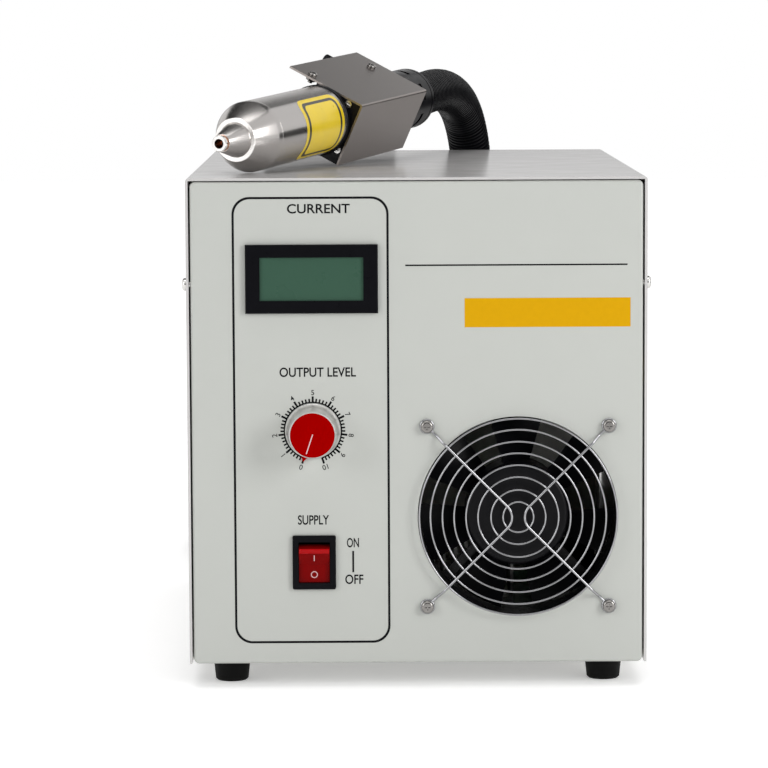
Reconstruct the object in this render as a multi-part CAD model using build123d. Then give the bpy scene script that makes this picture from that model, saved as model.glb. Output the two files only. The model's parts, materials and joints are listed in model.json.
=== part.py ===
"""Bench plasma cleaner: a sheet-metal cabinet with a fan, meter, dial and power switch, and a
steel plasma torch lying on its lid at the end of a corrugated hose.

Millimetres. +X is to the viewer's right, -Y to the front, +Z up. The origin is on the
surface that the feet stand on, under the middle of the cabinet.
"""
from build123d import *
import math
import os

os.makedirs("parts", exist_ok=True)

# Cabinet
WIDTH = 265.0
HEIGHT = 281.5
DEPTH = 400.0
COVER_SHEET = 1.5
COVER_BEND = 2.0
PANEL_SHEET = 2.0
PANEL_CORNER = 3.0
PANEL_EDGE = 1.6
RETURN_DEPTH = 15.0
PANEL_GAP = 1.0
PANEL_TOP_GAP = 0.6
TRAY_SHEET = 2.0
TONGUE_SHEET = 1.5
TONGUE_OVERLAP = 8.0
FLANGE_HEIGHT = 24.0
FLANGE_SHEET = 1.5

# Feet
FOOT_HEIGHT = 14.0
FOOT_TOP_R = 11.0
FOOT_BOTTOM_R = 9.5
FOOT_INSET_X = 23.5
FOOT_INSET_Y = 28.0
FOOT_RECESS_R = 5.0
FOOT_RECESS = 6.0

# Screws
M4_R = 2.0
M3_R = 1.5
HEAD_RATIO = 1.85
HOLE_CLEARANCE = 0.25
THREAD_CLEARANCE = 0.02
SIDE_SCREW_DROP = 61.3
SIDE_SCREW_INSET = 8.0
LOW_SCREW_Y = 120.0
LOW_SCREW_RISE = 14.0
TRAY_SCREW_X = 62.0
SINK = 1.6

# Fan
FAN_DEPTH = 38.0
FAN_PITCH = 105.0
FAN_HOLE_MARGIN = 7.5
FAN_SIZE = FAN_PITCH + 2 * FAN_HOLE_MARGIN
FAN_SIDE_GAP = 14.5
FAN_LIFT = 25.6
FAN_X = WIDTH / 2 - FAN_SIDE_GAP - FAN_SIZE / 2
FAN_RISE = FAN_LIFT + FAN_SIZE / 2
FAN_BORE_R = 57.7
FAN_WALL = 2.0
FAN_FLANGE = 5.0
FAN_CORNER = 5.0
PANEL_OPENING_R = 58.0
HUB_R = 30.0
HUB_LENGTH = 26.0
BLADE_COUNT = 7
BLADE_TIP_GAP = 1.5
BLADE_THICKNESS = 2.0
MOTOR_PLATE = 4.0
STRUT_WIDTH = 6.0
FAN_SHAFT_R = 3.0
RUNNING = 0.05

# Finger guard
GUARD_WIRE_R = 0.8
GUARD_RING_R = 0.65
WIRE_SIDES = 8
GUARD_RINGS = (8.8, 15.8, 23.3, 30.2, 37.1, 43.8, 50.7, 57.1)
GUARD_STANDOFF = 5.5
GUARD_LOOP_R = 3.6
GUARD_APEX_R = 8.9
GUARD_BEND_IN = 60.5
GUARD_BEND_OUT = 66.0

# Meter
METER_X = -60.4
METER_RISE = 223.6
METER_W = 76.2
METER_H = 39.6
METER_PROUD = 2.8
METER_EDGE = 0.8
WINDOW_W = 59.5
WINDOW_H = 24.9
WINDOW_SUNK = 1.2
METER_BODY_W = 70.0
METER_BODY_H = 34.0
METER_BODY_DEPTH = 34.0
CUTOUT_CLEARANCE = 0.3

# Dial
DIAL_X = -60.2
DIAL_RISE = 135.8
DIAL_TURN = 323.2
KNOB_LENGTH = 22.4
KNOB_BASE_R = 15.8
KNOB_FACE_R = 13.3
CAP_R = 12.8
CAP_THICKNESS = 2.0
SKIRT_EDGE = 1.4
KNOB_LIFT = 0.6
KNOB_HOLLOW_R = 9.5
KNOB_HOLLOW = 7.0
POINTER_REACH = 18.6
POINTER_WIDTH = 5.0
CAP_LINE_WIDTH = 1.1
CAP_LINE_DEPTH = 0.3
POT_R = 12.0
POT_DEPTH = 13.0
BUSH_R = 3.5
BUSH_LENGTH = 6.2
POT_SHAFT_R = 3.0
POT_NUT_AF = 10.0
POT_NUT = 2.0

# Power switch
SWITCH_X = -59.9
SWITCH_RISE = 59.3
SWITCH_W = 25.1
SWITCH_H = 31.4
SWITCH_PROUD = 2.2
SWITCH_BODY_W = 21.4
SWITCH_BODY_H = 27.4
SWITCH_BODY_DEPTH = 24.0
ROCKER_W = 17.7
ROCKER_HALF = 10.3
ROCKER_TILT = 12.0
ROCKER_RISE = 5.4
ROCKER_GAP = 0.25
ROCKER_CAVITY = 12.0
PIVOT_DEPTH = 5.0
TRUNNION_R = 1.5
TRUNNION = 1.2

# Rear panel
INLET_FROM_EDGE = 70.5
INLET_RISE = 150.0
INLET_W = 27.4
INLET_H = 20.0
INLET_FLANGE_W = 50.0
INLET_FLANGE_H = 24.0
INLET_FLANGE = 3.0
INLET_DEPTH = 24.0
INLET_CAVITY = 20.0
INLET_WALL = 2.2
INLET_SCREW_PITCH = 40.0
PIN_LENGTH = 13.0
AIR_FROM_EDGE = 40.5
AIR_RISE = 100.0
AIR_R = 7.5
AIR_REACH = 22.0
AIR_BORE_R = 4.05
AIR_BORE = 16.0
AIR_NIPPLE_R = 3.0
EARTH_FROM_EDGE = 40.5
EARTH_RISE = 50.0
STUD_R = 3.0
STUD_REACH = 20.0
VENT_ROWS = 11
VENT_PITCH = 8.0
VENT_LENGTH = 34.0
VENT_WIDTH = 3.2
VENT_RISE = 176.0
SIDE_VENTS = 9
SIDE_VENT_PITCH = 9.0
SIDE_VENT_LENGTH = 60.0
SIDE_VENT_Y = 100.0
SIDE_VENT_RISE = 120.0

# Hose and its glands
HOSE_R = 14.0
GLAND_R = 19.3
GLAND_NECK_R = 15.0
REAR_GLAND_X = -97.0
REAR_GLAND_RISE = 48.0
REAR_GLAND_REACH = 24.0
COIL_X = 9.5
COIL_Y = 367.0
COIL_INNER_TURN = 121.5
COIL_OUTER_TURN = 149.5
HOSE_WALL = 1.2

# Torch, measured along its axis from the rim of the nose, positive to the rear
TORCH_RIM = (-98.53, -132.93)
TORCH_REST_GAP = 0.3
TORCH_AZIMUTH = 24.61
TORCH_TILT = 4.2
TORCH_ROLL = 26.48
TORCH_R = 21.0
TORCH_WALL = 2.0
NOSE_STEP = 16.4
NOSE_STEP_R = 13.1
NOSE_LAND = 4.8
NOZZLE_ROOT_R = 10.4
NOZZLE_END_R = 5.5
NOZZLE_LENGTH = 17.6
TIP_R = 4.8
TIP_LENGTH = 3.6
NOZZLE_BORE_R = 2.9
BODY_END = 94.0
COLLAR = 3.4
COLLAR_R = 21.7
BLOCK_END = 188.0
BLOCK_LEFT = -10.0
WING_LEFT = -24.0
WING_START = 138.0
WING_DROP = 16.0
SHIELD_START = 97.5
SHIELD_LENGTH = 98.3
SHIELD_LEFT = -30.6
SHIELD_RIGHT = 23.3
SHIELD_TOP = -21.6
SHIELD_LOW = 19.6
SHIELD_SHEET = 1.2
SHIELD_SCREWS = ((-17.0, 103.8), (-12.5, 182.0))
BLOCK_SCREWS = ((14.2, -18.0), (19.0, 11.0))
PLUG_Z = 165.0
PLUG_R = 3.8
PLUG_REACH = 13.5
TORCH_GLAND_END = 232.0

# Inside
VALVE_BACK = 84.0
VALVE_LENGTH = 34.0
VALVE_HALF = 12.0
VALVE_COIL_HALF = 15.0
VALVE_COIL_HEIGHT = 36.0
VALVE_PORT = 10.0
BRACKET_SHEET = 2.0
BRACKET_HALF = 18.0
BRACKET_FOOT = 30.0
TUBE_WALL = 1.2
SINK_LENGTH = 90.0
SINK_WIDTH = 50.0
SINK_HEIGHT = 35.0
SINK_FINS = 8
CAN_R = 15.0
CAN_HEIGHT = 45.0
CORE = (80.0, 66.0, 68.0)
CORE_X = -66.0
CORE_Y = 15.0
BOARD = (112.0, 190.0, 1.6)
BOARD_X = 58.0
BOARD_Y = -38.0
STANDOFF = 10.0

# Places worked out from the sizes above
FRONT = -DEPTH / 2
REAR = DEPTH / 2
BASE = FOOT_HEIGHT
TOP = BASE + HEIGHT
COVER_IN = WIDTH / 2 - COVER_SHEET
PANEL_HALF = COVER_IN - PANEL_GAP
PANEL_TOP = TOP - COVER_SHEET - PANEL_TOP_GAP
PANEL_HEIGHT = PANEL_TOP - BASE
PANEL_MID = (PANEL_TOP + BASE) / 2
FAN_Z = BASE + FAN_RISE
METER_Z = BASE + METER_RISE
DIAL_Z = BASE + DIAL_RISE
SWITCH_Z = BASE + SWITCH_RISE
INLET_X = INLET_FROM_EDGE - WIDTH / 2
AIR_X = WIDTH / 2 - AIR_FROM_EDGE
EARTH_X = WIDTH / 2 - EARTH_FROM_EDGE
INLET_Z = BASE + INLET_RISE
AIR_Z = BASE + AIR_RISE
EARTH_Z = BASE + EARTH_RISE
REAR_GLAND_Z = BASE + REAR_GLAND_RISE
SIDE_SCREW_Z = TOP - SIDE_SCREW_DROP
LOW_SCREW_Z = BASE + LOW_SCREW_RISE
FLOOR_TOP = BASE + TRAY_SHEET
PANEL_BACK = FRONT + PANEL_SHEET
REAR_INNER = REAR - PANEL_SHEET
FOOT_X = WIDTH / 2 - FOOT_INSET_X
FOOT_Y = DEPTH / 2 - FOOT_INSET_Y
SCREW_AT_RETURN = DEPTH / 2 - SIDE_SCREW_INSET


def block(x0, x1, y0, y1, z0, z1):
    """A box between two corners."""
    return Pos((x0 + x1) / 2, (y0 + y1) / 2, (z0 + z1) / 2) * Box(x1 - x0, y1 - y0, z1 - z0)


def facing(y, x=0.0, z=0.0):
    """A plane parallel to the front panel: its x is X, its y is Z, and it faces the front."""
    return Plane(origin=(x, y, z), x_dir=(1, 0, 0), z_dir=(0, -1, 0))


def rod(x, z, y0, y1, radius):
    """A round bar along Y from y0 to y1, the front end first."""
    return extrude(facing(y1, x, z) * Circle(radius), amount=y1 - y0)


def hexagon(x, z, y0, y1, across):
    """A hexagonal bar along Y."""
    return extrude(facing(y1, x, z) * RegularPolygon(across / math.sqrt(3), 6), amount=y1 - y0)


def slab(x, z, y0, y1, width, height, corner=0.0):
    """A plate parallel to the front panel, with rounded corners if asked."""
    shape = RectangleRounded(width, height, corner) if corner else Rectangle(width, height)
    return extrude(facing(y1, x, z) * shape, amount=y1 - y0)


def turned(points, plane):
    """A solid of revolution about the plane's z, from (radius, height) points."""
    profile = make_face(Polyline(*[(r, 0, h) for r, h in points], close=True))
    return plane * revolve(profile, Axis.Z)


def pan_screw(radius, length, head_height=None):
    """A pan-head screw along +Z: the head sits above z = 0 and the shank hangs below it."""
    head_r = radius * HEAD_RATIO
    height = head_height or radius * 1.2
    head = fillet(Cylinder(head_r, height, align=(Align.CENTER, Align.CENTER, Align.MIN))
                  .edges().group_by(Axis.Z)[-1], height * 0.6)
    slot_size = head_r * 0.9
    cross = Box(slot_size, radius * 0.35, height) + Box(radius * 0.35, slot_size, height)
    head = head - Pos(0, 0, height) * cross
    shank = Cylinder(radius, length, align=(Align.CENTER, Align.CENTER, Align.MAX))
    return head + shank


def flush_screw(radius, length, sink):
    """A countersunk screw along +Z: its flat head ends at z = 0 and all of it is below."""
    head_r = radius + sink
    head = Pos(0, 0, -sink / 2) * Cone(radius, head_r, sink)
    slot = Box(head_r * 1.5, radius * 0.35, sink) + Box(radius * 0.35, head_r * 1.5, sink)
    shank = Cylinder(radius, length, align=(Align.CENTER, Align.CENTER, Align.MAX))
    return head + shank - slot


def save(name, shape):
    """Write one sub-part."""
    shape.label = name
    export_step(shape, f"parts/{name}.step")


def group(solids):
    """Separate solids that share one node."""
    return Compound(children=list(solids))


def torch_plane(at=0.0):
    """The torch's own frame: x along its shield's top, y towards the lid, z to the rear."""
    az = math.radians(TORCH_AZIMUTH)
    tilt = math.radians(TORCH_TILT)
    roll = math.radians(TORCH_ROLL)
    along = Vector(math.sin(az) * math.cos(tilt), math.cos(az) * math.cos(tilt), math.sin(tilt))
    side = Vector(math.cos(az), -math.sin(az), 0)
    up = side.cross(along)
    across = side * math.cos(roll) - up * math.sin(roll)
    rim_height = TOP + TORCH_REST_GAP + TORCH_R * math.cos(tilt)
    origin = Vector(TORCH_RIM[0], TORCH_RIM[1], rim_height) + along * at
    return Plane(origin=origin, x_dir=across, z_dir=along)


# Cabinet sheet metal

def side_screw_places():
    """Where the cover's screws go through its sides: (y, z) on both sides."""
    high = [(y, SIDE_SCREW_Z) for y in (-SCREW_AT_RETURN, SCREW_AT_RETURN)]
    low = [(y, LOW_SCREW_Z) for y in (-LOW_SCREW_Y, LOW_SCREW_Y)]
    return high + low


def cross_bar(y, z, radius):
    """A bar along X right through the cabinet, for drilling both sides."""
    plane = Plane(origin=(0, y, z), z_dir=(1, 0, 0))
    return extrude(plane * Circle(radius), amount=WIDTH, both=True)


def side_vents():
    """Upright slots through both sides, over the rear half."""
    cut = None
    for i in range(SIDE_VENTS):
        y = SIDE_VENT_Y + (i - (SIDE_VENTS - 1) / 2) * SIDE_VENT_PITCH
        plane = Plane(origin=(0, y, BASE + SIDE_VENT_RISE), x_dir=(0, 0, 1), z_dir=(1, 0, 0))
        slot = extrude(plane * SlotOverall(SIDE_VENT_LENGTH, VENT_WIDTH), amount=WIDTH, both=True)
        cut = slot if cut is None else cut + slot
    return cut


def make_cover():
    outer = facing(REAR, 0, TOP - HEIGHT / 2) * Rectangle(WIDTH, HEIGHT)
    shell = extrude(outer, amount=DEPTH)
    top_edges = shell.edges().filter_by(Axis.Y).group_by(Axis.Z)[-1]
    shell = fillet(top_edges, COVER_BEND)
    inner = block(-COVER_IN, COVER_IN, FRONT - 1, REAR + 1, BASE - 1, TOP - COVER_SHEET)
    shell = shell - fillet(inner.edges().filter_by(Axis.Y).group_by(Axis.Z)[-1],
                           COVER_BEND - COVER_SHEET)
    for y, z in side_screw_places():
        shell = shell - cross_bar(y, z, M4_R + HOLE_CLEARANCE)
    return shell - side_vents()


def make_pan():
    """A panel with its edges turned back all round, face towards the front."""
    pan = slab(0, PANEL_MID, FRONT, FRONT + RETURN_DEPTH, 2 * PANEL_HALF, PANEL_HEIGHT, PANEL_CORNER)
    pan = fillet(pan.faces().sort_by(Axis.Y)[0].edges(), PANEL_EDGE)
    hollow = slab(0, PANEL_MID, PANEL_BACK, FRONT + RETURN_DEPTH + 1,
                  2 * (PANEL_HALF - PANEL_SHEET), PANEL_HEIGHT - 2 * PANEL_SHEET,
                  PANEL_CORNER - PANEL_SHEET)
    pan = pan - hollow - cross_bar(-SCREW_AT_RETURN, SIDE_SCREW_Z, M4_R + THREAD_CLEARANCE)
    for side in (-1, 1):
        place = Pos(side * TRAY_SCREW_X, -SCREW_AT_RETURN, BASE)
        sink = Cone(M4_R + SINK + HOLE_CLEARANCE, M4_R + HOLE_CLEARANCE, SINK)
        pan = pan - place * Cylinder(M4_R + HOLE_CLEARANCE, 3 * PANEL_SHEET)
        pan = pan - place * Pos(0, 0, SINK / 2) * sink
    return pan


def fan_corners():
    half = FAN_PITCH / 2
    return [(FAN_X + i * half, FAN_Z + k * half) for i in (-1, 1) for k in (-1, 1)]


def make_front_panel():
    panel = make_pan()
    deep = PANEL_BACK + 1
    panel = panel - rod(FAN_X, FAN_Z, FRONT - 1, deep, PANEL_OPENING_R)
    for x, z in fan_corners():
        panel = panel - rod(x, z, FRONT - 1, deep, M4_R + HOLE_CLEARANCE)
    panel = panel - slab(METER_X, METER_Z, FRONT - 1, deep, METER_BODY_W + 2 * CUTOUT_CLEARANCE,
                         METER_BODY_H + 2 * CUTOUT_CLEARANCE)
    panel = panel - rod(DIAL_X, DIAL_Z, FRONT - 1, deep, BUSH_R + RUNNING)
    return panel - slab(SWITCH_X, SWITCH_Z, FRONT - 1, deep, SWITCH_BODY_W + 2 * CUTOUT_CLEARANCE,
                        SWITCH_BODY_H + 2 * CUTOUT_CLEARANCE)


def rear_vents():
    cut = None
    for i in range(VENT_ROWS):
        for x in (-VENT_LENGTH * 0.7 + INLET_X + 100, VENT_LENGTH * 0.7 + INLET_X + 100):
            z = BASE + VENT_RISE + (i - (VENT_ROWS - 1) / 2) * VENT_PITCH
            slot = extrude(facing(REAR + 1, x, z) * SlotOverall(VENT_LENGTH, VENT_WIDTH),
                           amount=PANEL_SHEET + 2)
            cut = slot if cut is None else cut + slot
    return cut


def make_rear_panel():
    panel = Rot(0, 0, 180) * make_pan()
    low, high = REAR_INNER - 1, REAR + 1
    panel = panel - slab(INLET_X, INLET_Z, low, high, INLET_W + 2 * CUTOUT_CLEARANCE,
                         INLET_H + 2 * CUTOUT_CLEARANCE)
    for side in (-1, 1):
        panel = panel - rod(INLET_X + side * INLET_SCREW_PITCH / 2, INLET_Z, low, high,
                            M3_R + HOLE_CLEARANCE)
    panel = panel - rod(AIR_X, AIR_Z, low, high, AIR_R - 1.5 + HOLE_CLEARANCE)
    panel = panel - rod(EARTH_X, EARTH_Z, low, high, STUD_R + HOLE_CLEARANCE)
    panel = panel - rod(REAR_GLAND_X, REAR_GLAND_Z, low, high, GLAND_NECK_R + HOLE_CLEARANCE)
    return panel - rear_vents()


def make_base_tray():
    """The floor between the two panels, with side flanges and a tongue over each panel's edge."""
    end = DEPTH / 2 - RETURN_DEPTH - 0.5
    half = COVER_IN - 0.2
    tray = block(-half, half, -end, end, BASE, FLOOR_TOP)
    for side in (-1, 1):
        inner, outer = side * (half - FLANGE_SHEET), side * half
        tray = tray + block(min(inner, outer), max(inner, outer), -end, end, FLOOR_TOP,
                            BASE + FLANGE_HEIGHT)
    tongue_half = PANEL_HALF - PANEL_CORNER - 0.2
    reach = DEPTH / 2 - PANEL_SHEET - 0.2
    for side in (-1, 1):
        near, far = side * (end - TONGUE_OVERLAP), side * reach
        tray = tray + block(-tongue_half, tongue_half, min(near, far), max(near, far), FLOOR_TOP,
                            FLOOR_TOP + TONGUE_SHEET)
    for y, z in side_screw_places()[2:]:
        tray = tray - cross_bar(y, z, M4_R + THREAD_CLEARANCE)
    for x in (-FOOT_X, FOOT_X):
        for y in (-FOOT_Y, FOOT_Y):
            tray = tray - Pos(x, y, BASE) * Cylinder(M4_R + HOLE_CLEARANCE, 4 * TRAY_SHEET)
    for x in (-TRAY_SCREW_X, TRAY_SCREW_X):
        for y in (-SCREW_AT_RETURN, SCREW_AT_RETURN):
            tray = tray - Pos(x, y, BASE) * Cylinder(M4_R + THREAD_CLEARANCE, 6 * TRAY_SHEET)
    return tray


def make_cover_screws():
    screws = []
    for side in (-1, 1):
        for y, z in side_screw_places():
            plane = Plane(origin=(side * WIDTH / 2, y, z), z_dir=(side, 0, 0))
            screws.append(plane * pan_screw(M4_R, 10))
    return group(screws)


def make_tray_screws():
    screws = []
    for x in (-TRAY_SCREW_X, TRAY_SCREW_X):
        for y in (-SCREW_AT_RETURN, SCREW_AT_RETURN):
            plane = Plane(origin=(x, y, BASE), z_dir=(0, 0, -1))
            screws.append(plane * flush_screw(M4_R, 8, SINK))
    return group(screws)


def make_foot(x, y):
    taper = (FOOT_TOP_R - FOOT_BOTTOM_R) / FOOT_HEIGHT
    lip = 1.0
    bore = M4_R + HOLE_CLEARANCE
    profile = [(bore, FOOT_RECESS), (FOOT_RECESS_R, FOOT_RECESS), (FOOT_RECESS_R, 0),
               (FOOT_BOTTOM_R - lip, 0), (FOOT_BOTTOM_R + taper * lip, lip),
               (FOOT_TOP_R, FOOT_HEIGHT), (bore, FOOT_HEIGHT)]
    return turned(profile, Plane(origin=(x, y, 0)))


def make_foot_screws():
    """Screw and nut of each foot, the head up in the foot's recess."""
    solids = []
    nut_height = 3.2
    nut_r = 7.0 / math.sqrt(3)
    length = FLOOR_TOP - FOOT_RECESS + nut_height + 2
    for x in (-FOOT_X, FOOT_X):
        for y in (-FOOT_Y, FOOT_Y):
            screw = Plane(origin=(x, y, FOOT_RECESS), z_dir=(0, 0, -1)) * pan_screw(M4_R, length)
            nut = Pos(x, y, FLOOR_TOP) * extrude(RegularPolygon(nut_r, 6), amount=nut_height)
            solids.append(screw + nut)
    return group(solids)


# Fan and its guard

FAN_FRONT = PANEL_BACK
FAN_BACK = FAN_FRONT + FAN_DEPTH
HUB_BACK = FAN_BACK - MOTOR_PLATE - 1.0
HUB_FRONT = HUB_BACK - HUB_LENGTH
BLADE_TIP_R = FAN_BORE_R - BLADE_TIP_GAP


def make_fan_frame():
    frame = rod(FAN_X, FAN_Z, FAN_FRONT, FAN_BACK, FAN_BORE_R + FAN_WALL)
    for start in (FAN_FRONT, FAN_BACK - FAN_FLANGE):
        frame = frame + slab(FAN_X, FAN_Z, start, start + FAN_FLANGE, FAN_SIZE, FAN_SIZE, FAN_CORNER)
    frame = frame - rod(FAN_X, FAN_Z, FAN_FRONT - 1, FAN_BACK + 1, FAN_BORE_R)
    spider = rod(FAN_X, FAN_Z, FAN_BACK - MOTOR_PLATE, FAN_BACK, HUB_R)
    for angle in (45, 135):
        bar = facing(FAN_BACK, FAN_X, FAN_Z) * Rot(0, 0, angle) * Rectangle(2 * FAN_BORE_R + 2, STRUT_WIDTH)
        spider = spider + extrude(bar, amount=MOTOR_PLATE)
    frame = frame + spider
    frame = frame - rod(FAN_X, FAN_Z, FAN_BACK - MOTOR_PLATE - 1, FAN_BACK + 1, FAN_SHAFT_R + RUNNING)
    for x, z in fan_corners():
        frame = frame - rod(x, z, FAN_FRONT - 1, FAN_BACK + 1, M4_R + HOLE_CLEARANCE)
    return frame


def blade_section(radius, chord, angle):
    """A thin curved section, in the plane that touches the circle of that radius."""
    half = chord / 2
    camber = chord * 0.12
    outer = ThreePointArc((-half, 0), (0, camber + BLADE_THICKNESS / 2), (half, 0))
    inner = ThreePointArc((half, 0), (0, camber - BLADE_THICKNESS / 2), (-half, 0))
    face = make_face([outer, inner])
    middle = (HUB_FRONT + HUB_BACK) / 2
    plane = Plane(origin=(FAN_X, middle, FAN_Z + radius), x_dir=(1, 0, 0), z_dir=(0, 0, 1))
    return plane * Rot(0, 0, angle) * face


def make_fan_rotor():
    root, tip = HUB_R - 3, BLADE_TIP_R
    blade = loft([blade_section(root, 24, 52), blade_section((root + tip) / 2, 32, 42),
                  blade_section(tip, 38, 33)])
    trim = rod(FAN_X, FAN_Z, FAN_FRONT - 10, FAN_BACK + 10, BLADE_TIP_R)
    band = slab(FAN_X, FAN_Z, HUB_FRONT, HUB_BACK, 3 * BLADE_TIP_R, 3 * BLADE_TIP_R)
    blade = blade & trim & band
    rotor = rod(FAN_X, FAN_Z, HUB_FRONT, HUB_BACK, HUB_R)
    rotor = fillet(rotor.faces().sort_by(Axis.Y)[0].edges(), 3.0)
    axis = Axis((FAN_X, 0, FAN_Z), (0, 1, 0))
    for i in range(BLADE_COUNT):
        rotor = rotor + blade.rotate(axis, i * 360 / BLADE_COUNT)
    return rotor + rod(FAN_X, FAN_Z, HUB_BACK - 1, FAN_BACK - 0.5, FAN_SHAFT_R)


def guard_wire(side):
    """One wire from an upper screw to the apex beside the middle and on to the lower screw."""
    low = FRONT - GUARD_WIRE_R
    high = FRONT - GUARD_STANDOFF
    diagonal = math.sqrt(0.5)
    ends = FAN_PITCH / 2 / diagonal - GUARD_LOOP_R
    reach = [(ends, low), (GUARD_BEND_OUT, low), (GUARD_BEND_IN, high)]
    upper = [(FAN_X + side * r * diagonal, y, FAN_Z + r * diagonal) for r, y in reach]
    lower = [(x, y, 2 * FAN_Z - z) for x, y, z in reversed(upper)]
    points = upper + [(FAN_X, high, FAN_Z)] + lower
    path = FilletPolyline(*points, radius=[2, 2, GUARD_APEX_R, 2, 2])
    section = Plane(origin=path @ 0, z_dir=path % 0) * RegularPolygon(GUARD_WIRE_R, WIRE_SIDES)
    return sweep(section, path=path)


def wire_ring(radius, wire_r, plane):
    """A ring of the same many-sided wire, round the plane's z."""
    section = Plane.XZ * Pos(radius, 0) * RegularPolygon(wire_r, WIRE_SIDES)
    return plane * revolve(section, Axis.Z)


def make_fan_grille():
    grille = guard_wire(-1) + guard_wire(1)
    ring_y = FRONT - GUARD_STANDOFF + GUARD_WIRE_R + GUARD_RING_R - 0.15
    for radius in GUARD_RINGS:
        grille = grille + wire_ring(radius, GUARD_RING_R, facing(ring_y, FAN_X, FAN_Z))
    for x, z in fan_corners():
        grille = grille + wire_ring(GUARD_LOOP_R, GUARD_WIRE_R, facing(FRONT - GUARD_WIRE_R, x, z))
    return grille


def make_fan_screws():
    seat = FRONT - 2 * GUARD_WIRE_R
    length = FAN_BACK + 5 - seat
    return group(Plane(origin=(x, seat, z), z_dir=(0, -1, 0)) * pan_screw(M4_R, length, 2.6)
                 for x, z in fan_corners())


def make_fan_nuts():
    return group(hexagon(x, z, FAN_BACK, FAN_BACK + 3.2, 7.0) - rod(x, z, FAN_BACK - 1, FAN_BACK + 5,
                 M4_R + THREAD_CLEARANCE) for x, z in fan_corners())


# Meter

def make_meter_bezel():
    bezel = slab(METER_X, METER_Z, FRONT - METER_PROUD, FRONT, METER_W, METER_H)
    bezel = fillet(bezel.faces().sort_by(Axis.Y)[0].edges(), METER_EDGE)
    window = slab(METER_X, METER_Z, FRONT - METER_PROUD - 1, FRONT + 1, WINDOW_W, WINDOW_H)
    return bezel - window


def make_meter_window():
    return slab(METER_X, METER_Z, FRONT - METER_PROUD + WINDOW_SUNK, FRONT, WINDOW_W, WINDOW_H)


def make_meter_body():
    body = slab(METER_X, METER_Z, FRONT, FRONT + METER_BODY_DEPTH, METER_BODY_W, METER_BODY_H)
    body = fillet(body.edges().filter_by(Axis.Y), 1.5)
    back = FRONT + METER_BODY_DEPTH
    for i in range(5):
        body = body + rod(METER_X + (i - 2) * 9.0, METER_Z, back - 1, back + 4, 2.5)
    return body


# Dial

KNOB_BACK = FRONT - KNOB_LIFT
KNOB_FRONT = KNOB_BACK - KNOB_LENGTH
ZERO_ANGLE = (360 - DIAL_TURN) / 2


def make_potentiometer():
    front = PANEL_BACK + 0.2
    pot = rod(DIAL_X, DIAL_Z, front, front + POT_DEPTH, POT_R)
    pot = pot + rod(DIAL_X, DIAL_Z, FRONT - BUSH_LENGTH, front + 1, BUSH_R)
    for i in (-1, 0, 1):
        pot = pot + block(DIAL_X + i * 5 - 1.2, DIAL_X + i * 5 + 1.2, front + 3, front + 4,
                          DIAL_Z - POT_R - 5, DIAL_Z)
    return pot - rod(DIAL_X, DIAL_Z, FRONT - BUSH_LENGTH - 1, front + POT_DEPTH - 2, POT_SHAFT_R + RUNNING)


def make_pot_nut():
    nut = hexagon(DIAL_X, DIAL_Z, FRONT - POT_NUT, FRONT, POT_NUT_AF)
    return nut - rod(DIAL_X, DIAL_Z, FRONT - POT_NUT - 1, FRONT + 1, BUSH_R + THREAD_CLEARANCE)


def make_pot_shaft():
    back = PANEL_BACK + POT_DEPTH - 3
    return rod(DIAL_X, DIAL_Z, KNOB_FRONT + CAP_THICKNESS + 2, back, POT_SHAFT_R)


def make_dial_knob():
    """A turned skirt that narrows to the face, hollow behind over the bush and its nut."""
    recess = KNOB_LENGTH - CAP_THICKNESS
    profile = [(KNOB_HOLLOW_R, 0), (KNOB_BASE_R, 0), (KNOB_BASE_R, SKIRT_EDGE),
               (KNOB_FACE_R + 1.0, KNOB_LENGTH * 0.3), (KNOB_FACE_R, KNOB_LENGTH - 0.6),
               (KNOB_FACE_R - 0.4, KNOB_LENGTH), (CAP_R, KNOB_LENGTH), (CAP_R, recess),
               (0, recess), (0, KNOB_HOLLOW), (KNOB_HOLLOW_R, KNOB_HOLLOW)]
    knob = turned(profile, facing(KNOB_BACK, DIAL_X, DIAL_Z))
    return knob - make_pot_shaft()


def dial_ray(x, width, reach, y0, y1, start=0.0):
    """A bar from the dial's middle towards its zero mark, turned into place."""
    bar = slab(x, DIAL_Z - (start + reach) / 2, y0, y1, width, reach - start)
    return bar.rotate(Axis((DIAL_X, 0, DIAL_Z), (0, 1, 0)), ZERO_ANGLE)


def make_dial_cap():
    back = KNOB_FRONT + CAP_THICKNESS
    cap = rod(DIAL_X, DIAL_Z, KNOB_FRONT - 0.3, back, CAP_R)
    cap = fillet(cap.faces().sort_by(Axis.Y)[0].edges(), 0.5)
    return cap - dial_ray(DIAL_X, CAP_LINE_WIDTH, CAP_R - 1.6, KNOB_FRONT - 1,
                          KNOB_FRONT - 0.3 + CAP_LINE_DEPTH)


def make_knob_pointer():
    tip = facing(KNOB_BACK, DIAL_X, DIAL_Z) * make_face(
        Polyline((-POINTER_WIDTH / 2, 1 - KNOB_BASE_R), (POINTER_WIDTH / 2, 1 - KNOB_BASE_R),
                 (0, -POINTER_REACH), close=True))
    pointer = extrude(tip, amount=SKIRT_EDGE)
    pointer = pointer.rotate(Axis((DIAL_X, 0, DIAL_Z), (0, 1, 0)), ZERO_ANGLE)
    return pointer - rod(DIAL_X, DIAL_Z, KNOB_BACK - 5, KNOB_BACK + 5, KNOB_BASE_R)


# Power switch

PIVOT_Y = FRONT + PIVOT_DEPTH
CAVITY_HALF = ROCKER_HALF + 1.6


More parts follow.
